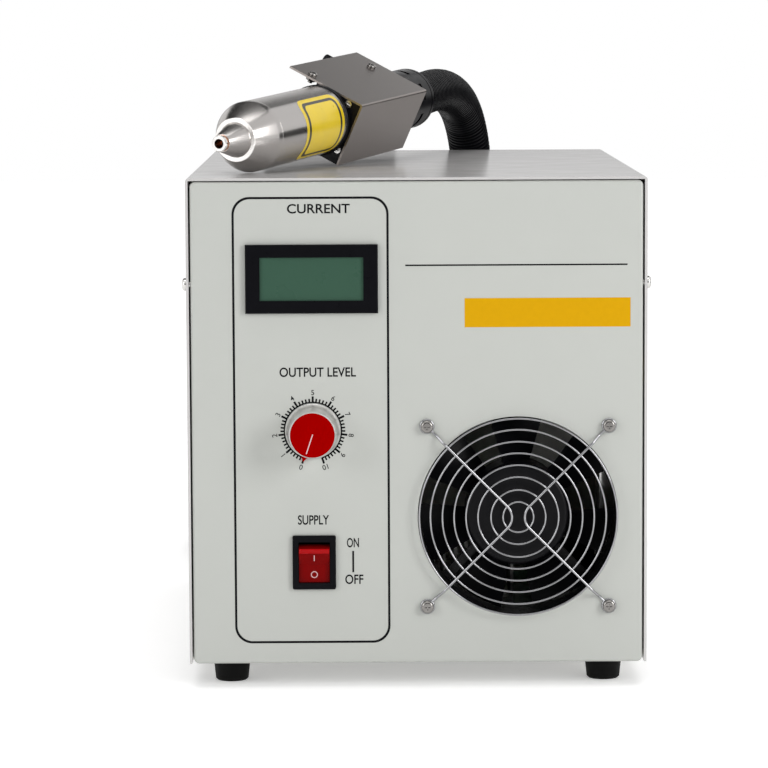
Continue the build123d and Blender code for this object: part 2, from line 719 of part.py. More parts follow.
def make_switch_housing():
    housing = slab(SWITCH_X, SWITCH_Z, FRONT - SWITCH_PROUD, FRONT, SWITCH_W, SWITCH_H, 1.0)
    housing = fillet(housing.faces().sort_by(Axis.Y)[0].edges(), 0.7)
    housing = housing + slab(SWITCH_X, SWITCH_Z, FRONT, FRONT + SWITCH_BODY_DEPTH, SWITCH_BODY_W,
                             SWITCH_BODY_H)
    housing = housing - slab(SWITCH_X, SWITCH_Z, FRONT - SWITCH_PROUD - 1, FRONT + ROCKER_CAVITY,
                             ROCKER_W + 2 * ROCKER_GAP, 2 * CAVITY_HALF)
    bore = Plane(origin=(SWITCH_X, PIVOT_Y, SWITCH_Z), z_dir=(1, 0, 0)) * Circle(TRUNNION_R + RUNNING)
    return housing - extrude(bore, amount=ROCKER_W / 2 + TRUNNION + 0.2, both=True)


def make_rocker():
    """A rocker with a shallow V face, tipped so that its upper end stands out: off."""
    dip = ROCKER_HALF * math.tan(math.radians(ROCKER_TILT))
    front, ends = ROCKER_RISE, ROCKER_RISE + dip
    outline = [(ends, ROCKER_HALF), (front, 0), (ends, -ROCKER_HALF), (0, -ROCKER_HALF),
               (-4, -4), (-4, 4), (0, ROCKER_HALF)]
    plane = Plane(origin=(SWITCH_X, PIVOT_Y, SWITCH_Z), x_dir=(0, -1, 0), z_dir=(-1, 0, 0))
    face = plane * make_face(Polyline(*outline, close=True))
    rocker = extrude(face, amount=ROCKER_W / 2, both=True)
    pin = Plane(origin=(SWITCH_X, PIVOT_Y, SWITCH_Z), z_dir=(1, 0, 0)) * Circle(TRUNNION_R)
    rocker = rocker + extrude(pin, amount=ROCKER_W / 2 + TRUNNION, both=True)
    return rocker.rotate(Axis((SWITCH_X, PIVOT_Y, SWITCH_Z), (1, 0, 0)), ROCKER_TILT)


def make_switch_terminals():
    back = FRONT + SWITCH_BODY_DEPTH
    return group(block(SWITCH_X + x - 0.4, SWITCH_X + x + 0.4, back, back + 8, SWITCH_Z + z - 2.4,
                       SWITCH_Z + z + 2.4) for x in (-6, 6) for z in (-7, 7))


# Rear fittings

def make_power_inlet():
    inlet = slab(INLET_X, INLET_Z, REAR, REAR + INLET_FLANGE, INLET_FLANGE_W, INLET_FLANGE_H, 3.0)
    inlet = inlet + slab(INLET_X, INLET_Z, REAR - INLET_DEPTH, REAR, INLET_W, INLET_H)
    mouth = REAR + INLET_FLANGE
    half_w, half_h = INLET_W / 2 - INLET_WALL, INLET_H / 2 - INLET_WALL
    shape = facing(mouth + 1, INLET_X, INLET_Z) * make_face(Polyline(
        (-half_w, half_h - 4), (4 - half_w, half_h), (half_w - 4, half_h), (half_w, half_h - 4),
        (half_w, -half_h), (-half_w, -half_h), close=True))
    inlet = inlet - extrude(shape, amount=INLET_CAVITY + 1)
    for x, z in ((0, 3.2), (-7, -2.2), (7, -2.2)):
        floor = mouth - INLET_CAVITY
        inlet = inlet + block(INLET_X + x - 1, INLET_X + x + 1, floor - 1, floor + PIN_LENGTH,
                              INLET_Z + z - 2, INLET_Z + z + 2)
    for side in (-1, 1):
        inlet = inlet - rod(INLET_X + side * INLET_SCREW_PITCH / 2, INLET_Z, REAR - 1, mouth + 1,
                            M3_R + HOLE_CLEARANCE)
    return inlet


def make_inlet_screws():
    mouth = REAR + INLET_FLANGE
    return group(Plane(origin=(INLET_X + side * INLET_SCREW_PITCH / 2, mouth, INLET_Z),
                       z_dir=(0, 1, 0)) * pan_screw(M3_R, INLET_FLANGE + 6) for side in (-1, 1))


def make_air_fitting():
    """A bulkhead fitting: a collar for the supply tube outside, a nipple for the inner tube."""
    neck = AIR_R - 1.5
    fitting = hexagon(AIR_X, AIR_Z, REAR, REAR + 6, 2 * AIR_R + 1)
    fitting = fitting + rod(AIR_X, AIR_Z, REAR, REAR + AIR_REACH, AIR_R)
    fitting = fitting + rod(AIR_X, AIR_Z, REAR_INNER - 5, REAR + 1, neck)
    fitting = fitting + hexagon(AIR_X, AIR_Z, REAR_INNER - 4, REAR_INNER, 2 * AIR_R + 1)
    fitting = fitting + rod(AIR_X, AIR_Z, REAR_INNER - 16, REAR_INNER - 3, AIR_NIPPLE_R)
    end = REAR + AIR_REACH
    fitting = fitting - rod(AIR_X, AIR_Z, end - AIR_BORE, end + 1, AIR_BORE_R)
    return fitting - rod(AIR_X, AIR_Z, REAR_INNER - 17, end, 1.6)


def make_earth_terminal():
    stud = rod(EARTH_X, EARTH_Z, REAR_INNER - 8, REAR + STUD_REACH, STUD_R)
    stud = stud + hexagon(EARTH_X, EARTH_Z, REAR_INNER - 5, REAR_INNER, 10.0)
    stud = stud + rod(EARTH_X, EARTH_Z, REAR, REAR + 1.2, 6.2)
    return stud + hexagon(EARTH_X, EARTH_Z, REAR + 1.2, REAR + 6.2, 10.0)


def gland(plane, thickness, reach, neck_out, locknut=True):
    """Body and ribbed nut of a hose gland; the plane's z is the way the hose leaves."""
    body = Cylinder(GLAND_NECK_R, thickness + 6, align=(Align.CENTER, Align.CENTER, Align.MAX))
    flange = extrude(RegularPolygon(GLAND_R - 0.6, 6), amount=neck_out)
    body = body + flange
    body = body - Cylinder(GLAND_NECK_R - 3, 60)
    if locknut:
        inner = Pos(0, 0, -thickness) * extrude(RegularPolygon(GLAND_R + 1.5, 6), amount=-4)
        body = body + (inner - Cylinder(GLAND_NECK_R - 3, 60))
    nut = Pos(0, 0, neck_out) * Cylinder(GLAND_R, reach - neck_out,
                                        align=(Align.CENTER, Align.CENTER, Align.MIN))
    groove_at = reach - 3.2
    nut = nut - Pos(0, 0, groove_at) * (Cylinder(GLAND_R + 1, 1.0) - Cylinder(GLAND_R - 1.1, 2.0))
    nut = nut - Pos(0, 0, neck_out - 1) * Cylinder(
        HOSE_R - HOSE_WALL, 4 * reach, align=(Align.CENTER, Align.CENTER, Align.MIN))
    for i in range(6):
        window = Rot(0, 0, 60 * i + 15) * Pos(GLAND_R, 0, neck_out + (reach - neck_out) * 0.55)
        nut = nut - window * Box(3.0, 11.0, 4.0)
    return plane * body, plane * nut


def make_rear_gland():
    plane = Plane(origin=(REAR_GLAND_X, REAR, REAR_GLAND_Z), x_dir=(-1, 0, 0), z_dir=(0, 1, 0))
    return gland(plane, PANEL_SHEET, REAR_GLAND_REACH, 5.0)


# Torch

def tapered(at, *points):
    """A turned torch part; points are (radius, distance from the rim)."""
    return turned([(r, z - at) for r, z in points], torch_plane(at))


def make_nozzle_tip():
    start = -NOSE_STEP - NOZZLE_LENGTH
    root = start + 6.0
    return tapered(0, (NOZZLE_BORE_R, start - TIP_LENGTH), (TIP_R - 0.5, start - TIP_LENGTH),
                   (TIP_R, start - TIP_LENGTH + 0.5), (TIP_R, start), (TIP_R - 1.0, start),
                   (TIP_R - 1.0, root), (NOZZLE_BORE_R, root))


def make_nozzle():
    """The nozzle's cone with its spigot inside the nose."""
    start = -NOSE_STEP - NOZZLE_LENGTH
    return tapered(0, (TIP_R - 1.0, start), (NOZZLE_END_R, start), (NOZZLE_ROOT_R, -NOSE_STEP),
                   (NOZZLE_ROOT_R, 2), (5.5, 2), (5.5, start + 6.0), (TIP_R - 1.0, start + 6.0))


def make_nose():
    inner = TORCH_R - TORCH_WALL - RUNNING
    bore = NOZZLE_ROOT_R + RUNNING
    return tapered(0, (NOSE_STEP_R, -NOSE_STEP), (TORCH_R, 0),
                   (TORCH_R, NOSE_LAND), (inner, NOSE_LAND), (inner, NOSE_LAND + 8),
                   (inner - 3, NOSE_LAND + 8), (inner - 3, 2), (bore, 2), (bore, -NOSE_STEP))


def make_torch_body():
    inner = TORCH_R - TORCH_WALL
    return tapered(0, (inner, NOSE_LAND + 0.1), (TORCH_R - 0.2, NOSE_LAND + 0.1),
                   (TORCH_R, NOSE_LAND + 0.4), (TORCH_R, BODY_END), (inner, BODY_END))


def make_insulator():
    inner = TORCH_R - TORCH_WALL
    start = NOSE_LAND + 8.5
    return tapered(0, (3.0, start + 6), (8.0, start), (inner, start), (inner, BODY_END),
                   (3.0, BODY_END))


def make_electrode():
    start = -NOSE_STEP - 6
    return tapered(0, (0, start), (1.2, start), (3.0, start + 8), (3.0, BODY_END), (0, BODY_END))


def make_torch_collar():
    end = BODY_END + COLLAR
    return tapered(0, (TORCH_R - 8, BODY_END), (TORCH_R, BODY_END), (COLLAR_R, BODY_END + 0.7),
                   (COLLAR_R, BODY_END + 1.6), (COLLAR_R - 1.0, BODY_END + 1.8),
                   (COLLAR_R - 1.0, BODY_END + 2.2), (COLLAR_R, BODY_END + 2.4), (COLLAR_R, end),
                   (TORCH_R - 8, end))


BLOCK_START = BODY_END + COLLAR
INNER_TOP = SHIELD_TOP + SHIELD_SHEET
INNER_RIGHT = SHIELD_RIGHT - SHIELD_SHEET


def make_torch_block():
    """The insulating block behind the barrel, widened to the left near the hose."""
    body = block(BLOCK_LEFT, INNER_RIGHT, INNER_TOP, SHIELD_LOW, BLOCK_START, BLOCK_END)
    body = body + block(WING_LEFT, BLOCK_LEFT, INNER_TOP, INNER_TOP + WING_DROP, WING_START, BLOCK_END)
    for x, y in BLOCK_SCREWS:
        body = body - Pos(x, y, BLOCK_START) * Cylinder(M3_R * HEAD_RATIO * 0.8 + 0.05, 3.0)
        body = body - Pos(x, y, BLOCK_START) * Cylinder(M3_R + THREAD_CLEARANCE, 20)
    x, z = SHIELD_SCREWS[1]
    hole = Plane(origin=(x, INNER_TOP, z), z_dir=(0, -1, 0)) * Circle(M3_R + THREAD_CLEARANCE)
    body = body - extrude(hole, amount=9, both=True)
    neck = Pos(0, 0, BLOCK_END - 8) * Cylinder(GLAND_NECK_R + 0.1, 20,
                                               align=(Align.CENTER, Align.CENTER, Align.MIN))
    return torch_plane() * (body - neck)


def make_block_screws():
    """Small flat heads let into the block's front."""
    screws = []
    radius = M3_R * HEAD_RATIO * 0.8
    for x, y in BLOCK_SCREWS:
        head = Pos(x, y, BLOCK_START) * Cylinder(radius, 1.5, align=(Align.CENTER, Align.CENTER, Align.MIN))
        head = head - Pos(x, y, BLOCK_START) * Box(radius * 1.5, 0.6, 1.2)
        shank = Pos(x, y, BLOCK_START + 1) * Cylinder(M3_R, 8, align=(Align.CENTER, Align.CENTER, Align.MIN))
        screws.append(torch_plane() * (head + shank))
    return group(screws)


def make_torch_shield():
    """One folded sheet: a top and a right side, with a small outer bend."""
    z0, z1 = SHIELD_START, SHIELD_START + SHIELD_LENGTH
    shield = block(SHIELD_LEFT, SHIELD_RIGHT, SHIELD_TOP, SHIELD_LOW, z0, z1)
    bend = shield.edges().filter_by(Axis.Z).sort_by(lambda e: e.center().X - e.center().Y)[-1]
    shield = fillet(bend, 1.4)
    shield = shield - block(SHIELD_LEFT - 1, INNER_RIGHT, INNER_TOP, SHIELD_LOW + 1, z0 - 1, z1 + 1)
    for x, z in SHIELD_SCREWS:
        hole = Plane(origin=(x, SHIELD_TOP, z), z_dir=(0, -1, 0)) * Circle(M3_R + HOLE_CLEARANCE)
        shield = shield - extrude(hole, amount=3, both=True)
    return torch_plane() * shield


def make_shield_screws():
    screws = []
    for (x, z), length in zip(SHIELD_SCREWS, (5, 8)):
        seat = Plane(origin=(x, SHIELD_TOP, z), z_dir=(0, -1, 0))
        screw = seat * pan_screw(M3_R, length)
        if length == 5:
            nut_at = Plane(origin=(x, INNER_TOP, z), z_dir=(0, 1, 0))
            screw = screw + nut_at * extrude(RegularPolygon(5.5 / math.sqrt(3), 6), amount=2.4)
        screws.append(torch_plane() * screw)
    return group(screws)


def make_side_plug():
    y = INNER_TOP + PLUG_R + 0.3
    plane = Plane(origin=(WING_LEFT, y, PLUG_Z), z_dir=(-1, 0, 0))
    plug = plane * Cylinder(PLUG_R, PLUG_REACH, align=(Align.CENTER, Align.CENTER, Align.MIN))
    plug = fillet(plug.edges().group_by(Axis.X)[0], 1.0)
    return torch_plane() * plug


def make_torch_gland():
    return gland(torch_plane(BLOCK_END), 0.0, TORCH_GLAND_END - BLOCK_END, 10.0, locknut=False)


# Hose

def along_drop(t, z):
    """A hose point t beyond the torch's gland, on the line from there to the rear edge."""
    start = torch_plane(TORCH_GLAND_END).origin
    heading = math.radians(17.13)
    return (start.X + t * math.sin(heading), start.Y + t * math.cos(heading), z)


def ring_point(angle, radius, z):
    """A point on the coil, angle in degrees from its near side, counter-clockwise from above."""
    a = math.radians(angle)
    return (COIL_X + radius * math.sin(a), COIL_Y - radius * math.cos(a), z)


def lead_points():
    """The lead's run: out of the torch's gland, over the lid's rear edge and down to the coil."""
    start = torch_plane(TORCH_GLAND_END - 3).origin
    points = [(start.X, start.Y, start.Z)]
    points += [along_drop(33.6, 335.6), along_drop(67.9, 338.4), along_drop(99.9, 335.4),
               along_drop(127.5, 325.3), along_drop(147.1, 306.7), along_drop(157.6, 281.5),
               along_drop(161.1, 247.8), along_drop(162.3, 205.6)]
    points += [(50.5, 236.0, 162.0), (64.0, 241.0, 121.0), (84.0, 253.0, 85.0), (105.0, 275.0, 56.0),
               (121.0, 306.0, 36.0), (129.5, 342.0, 22.0)]
    return points


def tail_points():
    """The tail's run: up from the coil's outer turn and into the rear panel's gland."""
    mouth = REAR + REAR_GLAND_REACH
    return [ring_point(253, COIL_OUTER_TURN, 20.0), ring_point(266, COIL_OUTER_TURN, 24.0),
            (-136.0, 328.0, 33.0), (-123.0, 293.0, 48.0), (-107.0, 260.0, 59.0),
            (REAR_GLAND_X, mouth + 12, REAR_GLAND_Z - 0.5), (REAR_GLAND_X, mouth - 3, REAR_GLAND_Z)]


def bend_radii(name, points):
    """The largest arc that the two runs at each corner allow."""
    radii = []
    for a, b, c in zip(points, points[1:], points[2:]):
        first, second = Vector(*b) - Vector(*a), Vector(*c) - Vector(*b)
        turn = math.radians(first.get_angle(second))
        shorter = min(first.length, second.length)
        radii.append(0.45 * shorter / math.tan(turn / 2))
    print(name, "radii", [round(r) for r in radii])
    return radii


def hose_tube(name, points, mouth):
    """A round run of hose, cut flat where it meets its gland and where it lies in the coil."""
    path = FilletPolyline(*points, radius=bend_radii(name, points))
    tube = sweep(Plane(origin=path @ 0, z_dir=path % 0) * Circle(HOSE_R), path=path)
    ratio = tube.volume / (math.pi * HOSE_R ** 2) / path.length
    print(name, "length", round(path.length, 1), "volume ratio", round(ratio, 4))
    inside = Cylinder(GLAND_R + 4, 40, align=(Align.CENTER, Align.CENTER, Align.MAX))
    return tube - mouth * inside - make_hose_coil()


def make_hose_lead():
    return hose_tube("hose_lead", lead_points(), torch_plane(TORCH_GLAND_END))


def make_hose_tail():
    mouth = Plane(origin=(REAR_GLAND_X, REAR + REAR_GLAND_REACH, REAR_GLAND_Z), z_dir=(0, 1, 0))
    return hose_tube("hose_tail", tail_points(), mouth)


def make_hose_coil():
    outer = COIL_OUTER_TURN + HOSE_R
    inner = COIL_INNER_TURN - HOSE_R
    ring = Cylinder(outer, 2 * HOSE_R) - Cylinder(inner, 3 * HOSE_R)
    return Pos(COIL_X, COIL_Y, HOSE_R) * ring


# Inside the cabinet

def make_transformer_core():
    w, d, h = CORE
    core = block(CORE_X - w / 2, CORE_X + w / 2, CORE_Y - d / 4, CORE_Y + d / 4, FLOOR_TOP, FLOOR_TOP + h)
    leg = w / 4
    for side in (-1, 1):
        core = core - block(CORE_X + side * leg - leg / 2, CORE_X + side * leg + leg / 2, CORE_Y - d,
                            CORE_Y + d, FLOOR_TOP + leg / 2, FLOOR_TOP + h - leg / 2)
    return core


def make_transformer_coil():
    w, d, h = CORE
    leg = w / 4
    low, high = FLOOR_TOP + leg / 2, FLOOR_TOP + h - leg / 2
    coil = block(CORE_X - 1.5 * leg, CORE_X + 1.5 * leg, CORE_Y - d / 2, CORE_Y + d / 2, low, high)
    coil = fillet(coil.edges().filter_by(Axis.Z), 5.0)
    return coil - block(CORE_X - leg / 2, CORE_X + leg / 2, CORE_Y - d / 4, CORE_Y + d / 4, low - 1, high + 1)


BOARD_LOW = FLOOR_TOP + STANDOFF
BOARD_TOP = BOARD_LOW + BOARD[2]


def board_corners():
    return [(BOARD_X + i * (BOARD[0] / 2 - 5), BOARD_Y + k * (BOARD[1] / 2 - 5))
            for i in (-1, 1) for k in (-1, 1)]


def make_power_board():
    w, d, _ = BOARD
    board = block(BOARD_X - w / 2, BOARD_X + w / 2, BOARD_Y - d / 2, BOARD_Y + d / 2, BOARD_LOW, BOARD_TOP)
    for x, y in board_corners():
        board = board - Pos(x, y, BOARD_TOP) * Cylinder(M3_R + THREAD_CLEARANCE, 10)
    return board


def make_standoffs():
    nut_r = 5.5 / math.sqrt(3)
    return group(Pos(x, y, FLOOR_TOP) * (extrude(RegularPolygon(nut_r, 6), amount=STANDOFF)
                 + Cylinder(M3_R, STANDOFF + 3, align=(Align.CENTER, Align.CENTER, Align.MIN)))
                 for x, y in board_corners())


def make_heatsink():
    """An extruded heatsink on the board, its fins along the air stream."""
    base, fin = 5.0, 2.0
    x0, y0 = BOARD_X - BOARD[0] / 2 + 8, BOARD_Y - SINK_LENGTH / 2
    y1 = y0 + SINK_LENGTH
    sink = block(x0, x0 + SINK_WIDTH, y0, y1, BOARD_TOP, BOARD_TOP + base)
    for i in range(SINK_FINS):
        x = x0 + i * (SINK_WIDTH - fin) / (SINK_FINS - 1)
        sink = sink + block(x, x + fin, y0, y1, BOARD_TOP + base, BOARD_TOP + SINK_HEIGHT)
    return sink


def make_capacitors():
    cans = []
    for i in (-1, 0, 1):
        can = Cylinder(CAN_R, CAN_HEIGHT, align=(Align.CENTER, Align.CENTER, Align.MIN))
        can = fillet(can.edges().group_by(Axis.Z)[-1], 1.5)
        x = BOARD_X + BOARD[0] / 2 - CAN_R - 5
        cans.append(Pos(x, BOARD_Y + i * (2 * CAN_R + 8) - CAN_R, BOARD_TOP) * can)
    return group(cans)


VALVE_START = REAR - VALVE_BACK
VALVE_END = VALVE_START + VALVE_LENGTH


def make_valve_bracket():
    """An angle that carries the valve: a foot on the floor and an upright."""
    x0, x1 = AIR_X - BRACKET_HALF, AIR_X + BRACKET_HALF
    y = VALVE_START - BRACKET_SHEET
    foot = block(x0, x1, y, y + BRACKET_FOOT, FLOOR_TOP, FLOOR_TOP + BRACKET_SHEET)
    top = AIR_Z + VALVE_HALF + VALVE_COIL_HEIGHT / 2
    return foot + block(x0, x1, y, VALVE_START, FLOOR_TOP, top)


def make_solenoid_valve():
    """The gas valve on its bracket, its port in line with the air fitting."""
    low, high = AIR_Z - VALVE_HALF, AIR_Z + VALVE_HALF
    body = block(AIR_X - VALVE_HALF, AIR_X + VALVE_HALF, VALVE_START, VALVE_END, low, high)
    coil = block(AIR_X - VALVE_COIL_HALF, AIR_X + VALVE_COIL_HALF, VALVE_START, VALVE_END, high,
                 high + VALVE_COIL_HEIGHT)
    coil = fillet(coil.edges().filter_by(Axis.Z), 3.0)
    valve = body + coil + rod(AIR_X, AIR_Z, VALVE_END - 1, VALVE_END + VALVE_PORT, AIR_NIPPLE_R)
    return valve - rod(AIR_X, AIR_Z, VALVE_END - 14, VALVE_END + VALVE_PORT + 1, 1.6)


def make_air_tube():
    """The tube pushed over the valve's port and the fitting's nipple."""
    start, end = VALVE_END + 2, REAR_INNER - 6
    bore = AIR_NIPPLE_R + THREAD_CLEARANCE
    return rod(AIR_X, AIR_Z, start, end, bore + TUBE_WALL) - rod(AIR_X, AIR_Z, start - 1, end + 1, bore)


def build():
    save("cover", make_cover())
    save("front_panel", make_front_panel())
    save("rear_panel", make_rear_panel())
    save("base_tray", make_base_tray())
    save("cover_screws", make_cover_screws())
    save("tray_screws", make_tray_screws())
    for side, x in (("left", -FOOT_X), ("right", FOOT_X)):
        save(f"foot_front_{side}", make_foot(x, -FOOT_Y))
        save(f"foot_rear_{side}", make_foot(x, FOOT_Y))
    save("foot_screws", make_foot_screws())
    save("fan_frame", make_fan_frame())
    save("fan_rotor", make_fan_rotor())
    save("fan_grille", make_fan_grille())
    save("fan_screws", make_fan_screws())
    save("fan_nuts", make_fan_nuts())
    save("meter_bezel", make_meter_bezel())
    save("meter_window", make_meter_window())
    save("meter_body", make_meter_body())
    save("potentiometer", make_potentiometer())
    save("pot_nut", make_pot_nut())
    save("pot_shaft", make_pot_shaft())
    save("dial_knob", make_dial_knob())
    save("dial_cap", make_dial_cap())
    save("knob_pointer", make_knob_pointer())
    save("switch_housing", make_switch_housing())
    save("rocker", make_rocker())
    save("switch_terminals", make_switch_terminals())
    save("power_inlet", make_power_inlet())
    save("inlet_screws", make_inlet_screws())
    save("air_fitting", make_air_fitting())
    save("earth_terminal", make_earth_terminal())
    body, nut = make_rear_gland()
    save("rear_gland_body", body)
    save("rear_gland_nut", nut)
    save("nozzle_tip", make_nozzle_tip())
    save("nozzle", make_nozzle())
    save("torch_nose", make_nose())
    save("torch_body", make_torch_body())
    save("insulator", make_insulator())
    save("electrode", make_electrode())
    save("torch_collar", make_torch_collar())
    save("torch_block", make_torch_block())
    save("block_screws", make_block_screws())
    save("torch_shield", make_torch_shield())
    save("shield_screws", make_shield_screws())
    save("side_plug", make_side_plug())
    body, nut = make_torch_gland()
    save("torch_gland_body", body)
    save("torch_gland_nut", nut)
    save("hose_lead", make_hose_lead())
    save("hose_coil", make_hose_coil())
    save("hose_tail", make_hose_tail())
    save("transformer_core", make_transformer_core())
    save("transformer_coil", make_transformer_coil())
    save("power_board", make_power_board())
    save("board_standoffs", make_standoffs())
    save("heatsink", make_heatsink())
    save("board_capacitors", make_capacitors())
    save("valve_bracket", make_valve_bracket())
    save("solenoid_valve", make_solenoid_valve())
    save("air_tube", make_air_tube())


build()
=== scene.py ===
"""Looks of the bench plasma cleaner, built around its CAD frame.

World: metres, Z up, -Y to the front. Shapes and places below are in millimetres, angles in degrees.
"""
import json
import math

import bpy
import bmesh
from mathutils import Matrix, Vector


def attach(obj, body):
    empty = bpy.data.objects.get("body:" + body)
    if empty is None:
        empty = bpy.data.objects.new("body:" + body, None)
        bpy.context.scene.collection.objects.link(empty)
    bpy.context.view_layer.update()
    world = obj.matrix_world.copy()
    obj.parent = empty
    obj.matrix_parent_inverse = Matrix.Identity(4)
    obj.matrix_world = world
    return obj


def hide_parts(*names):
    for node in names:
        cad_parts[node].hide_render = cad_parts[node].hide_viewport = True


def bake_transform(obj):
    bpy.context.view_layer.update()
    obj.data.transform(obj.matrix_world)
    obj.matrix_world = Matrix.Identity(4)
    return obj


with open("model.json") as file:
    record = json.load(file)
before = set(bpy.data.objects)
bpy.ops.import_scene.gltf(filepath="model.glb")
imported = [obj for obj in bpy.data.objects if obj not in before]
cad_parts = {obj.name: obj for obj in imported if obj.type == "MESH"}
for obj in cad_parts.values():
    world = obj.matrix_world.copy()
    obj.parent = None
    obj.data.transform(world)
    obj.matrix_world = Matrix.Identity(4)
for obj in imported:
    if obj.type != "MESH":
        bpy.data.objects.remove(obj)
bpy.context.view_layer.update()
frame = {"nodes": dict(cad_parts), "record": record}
NODES = frame["nodes"]
MM = 0.001
FORWARD = Matrix.Rotation(math.pi / 2, 4, "X")  # turns local Z to the front

# Fittings of the front panel, as (x, z) on its face
PANEL = -200.0
FAN = (58.0, 99.6)
DIAL = (-60.2, 149.8)
SWITCH = (-59.9, 73.3)


# Materials

BLACK = (0.004, 0.004, 0.005)
NOISE_FROM, NOISE_TO = 0.3, 0.7  # the part of a noise's range that counts
RELIEF_SCALE, RELIEF_DEPTH = 900.0, 0.0002
TURNED = (1, 1, 500)  # stretch of the fine rings a lathe leaves

LOOKS = {
    "cover_paint": dict(color=(0.60, 0.59, 0.585), rough=0.15, rough_vary=0.015, vary=0.006, scale=40,
                        spec=0.6),
    "panel_paint": dict(color=(0.535, 0.55, 0.52), rough=0.36, rough_vary=0.02, vary=0.006, scale=40,
                        spec=0.4),
    "plated_sheet": dict(color=(0.55, 0.55, 0.52), rough=0.35, metal=0.9, scale=90),
    "plated_steel": dict(color=(0.62, 0.61, 0.59), rough=0.24, metal=1.0, vary=0.1, scale=300),
    "foot_rubber": dict(color=(0.004, 0.004, 0.004), rough=0.6, scale=300, bump=0.1, spec=0.12),
    "cast_frame": dict(color=(0.004, 0.004, 0.0045), rough=0.3, vary=0.02, scale=300, spec=0.2),
    "black_plastic": dict(color=BLACK, rough=0.32, vary=0.02, scale=250, spec=0.12),
    "black_gloss": dict(color=(0.004, 0.004, 0.0055), rough=0.32, vary=0.02, scale=250, spec=0.06),
    "red_plastic": dict(color=(0.34, 0.0, 0.0), rough=0.4, vary=0.02, scale=200, spec=0.0),
    "rocker_red": dict(color=(0.19, 0.0008, 0.001), rough=0.32, scale=120, spec=0.05),
    # A lighter copy of the rocker's red: painted highlight on the raised lip across the rocker's top
    "lip_highlight_red": dict(color=(0.42, 0.004, 0.006), rough=0.25, vary=0.05, scale=120, spec=0.1),
    "meter_screen": dict(color=(0.042, 0.098, 0.066), rough=0.3, vary=0.004, scale=50, spec=0.12),
    "chromed_wire": dict(color=(0.3, 0.3, 0.31), rough=0.06, metal=1.0, vary=0.03, scale=400),
    "screw_steel": dict(color=(0.24, 0.23, 0.22), rough=0.2, metal=1.0, vary=0.05, scale=300),
    "bright_aluminium": dict(color=(0.76, 0.745, 0.73), rough=0.36, rough_vary=0.03, metal=1.0,
                             vary=0.03, scale=60),
    "turned_steel": dict(color=(0.45, 0.43, 0.415), rough=0.24, rough_vary=0.012, metal=1.0,
                         vary=0.02, scale=3.0, stretch=TURNED, turned_grain=0.8),
    # A lighter copy of the turned steel: painted highlight on the nozzle's flat step, and the pale
    # front face of the tip
    "pale_steel_and_highlight": dict(color=(0.78, 0.76, 0.74), rough=0.2, rough_vary=0.01, metal=1.0,
                         vary=0.03, scale=3.0, stretch=TURNED, turned_grain=0.6),
    "brushed_sheet": dict(color=(0.245, 0.219, 0.206), rough=0.3, rough_vary=0.02, metal=1.0,
                          vary=0.05, scale=5, stretch=(150, 150, 3)),
    "copper_tip": dict(color=(0.72, 0.38, 0.24), rough=0.3, metal=1.0, vary=0.15, scale=600),
    "brass": dict(color=(0.68, 0.52, 0.24), rough=0.28, metal=1.0, scale=300),
    "white_insulator": dict(color=(0.75, 0.74, 0.7), rough=0.3, scale=200),
    "black_hose": dict(color=BLACK, rough=0.36, vary=0.02, scale=200, spec=0.1),
    "iron_core": dict(color=(0.1, 0.1, 0.11), rough=0.5, metal=0.6, scale=60, stretch=(1, 40, 1)),
    "winding": dict(color=(0.5, 0.36, 0.08), rough=0.4, scale=120),
    "board_green": dict(color=(0.02, 0.14, 0.05), rough=0.35, scale=150),
    "blue_tube": dict(color=(0.02, 0.1, 0.4), rough=0.3, scale=150),
    "ink": dict(color=BLACK, rough=0.6, vary=0.1, scale=800, spec=0.1),
    "amber_ink": dict(color=(0.68, 0.36, 0.001), rough=0.5, vary=0.02, scale=300, spec=0.08),
    "white_ink": dict(color=(0.72, 0.5, 0.52), rough=0.5, vary=0.03, scale=300),
    "yellow_film": dict(color=(0.82, 0.60, 0.02), rough=0.32, vary=0.03, scale=120),
    "film_edge": dict(color=(0.02, 0.02, 0.02), rough=0.32, vary=0.05, scale=120),
}
# Nodes whose look differs from that of their slot
OWN_LOOKS = {"rocker": "rocker_red", "fan_screws": "screw_steel", "shield_screws": "screw_steel"}


def nodes_of(mat):
    mat.use_nodes = True
    tree = mat.node_tree
    return tree, tree.nodes["Principled BSDF"]


def texture(tree, scale, detail, stretch):
    """A noise texture in the object's own coordinates."""
    coords = tree.nodes.new("ShaderNodeTexCoord")
    mapping = tree.nodes.new("ShaderNodeMapping")
    mapping.inputs["Scale"].default_value = stretch
    noise = tree.nodes.new("ShaderNodeTexNoise")
    noise.inputs["Scale"].default_value = scale
    noise.inputs["Detail"].default_value = detail
    noise.inputs["Roughness"].default_value = 0.55
    tree.links.new(coords.outputs["Object"], mapping.inputs["Vector"])
    tree.links.new(mapping.outputs["Vector"], noise.inputs["Vector"])
    return noise


def ramp(tree, source, low, high):
    """The middle of a noise's range, spread over low to high."""
    node = tree.nodes.new("ShaderNodeMapRange")
    node.inputs["From Min"].default_value = NOISE_FROM
    node.inputs["From Max"].default_value = NOISE_TO
    node.inputs["To Min"].default_value = low
    node.inputs["To Max"].default_value = high
    tree.links.new(source, node.inputs["Value"])
    return node.outputs["Result"]


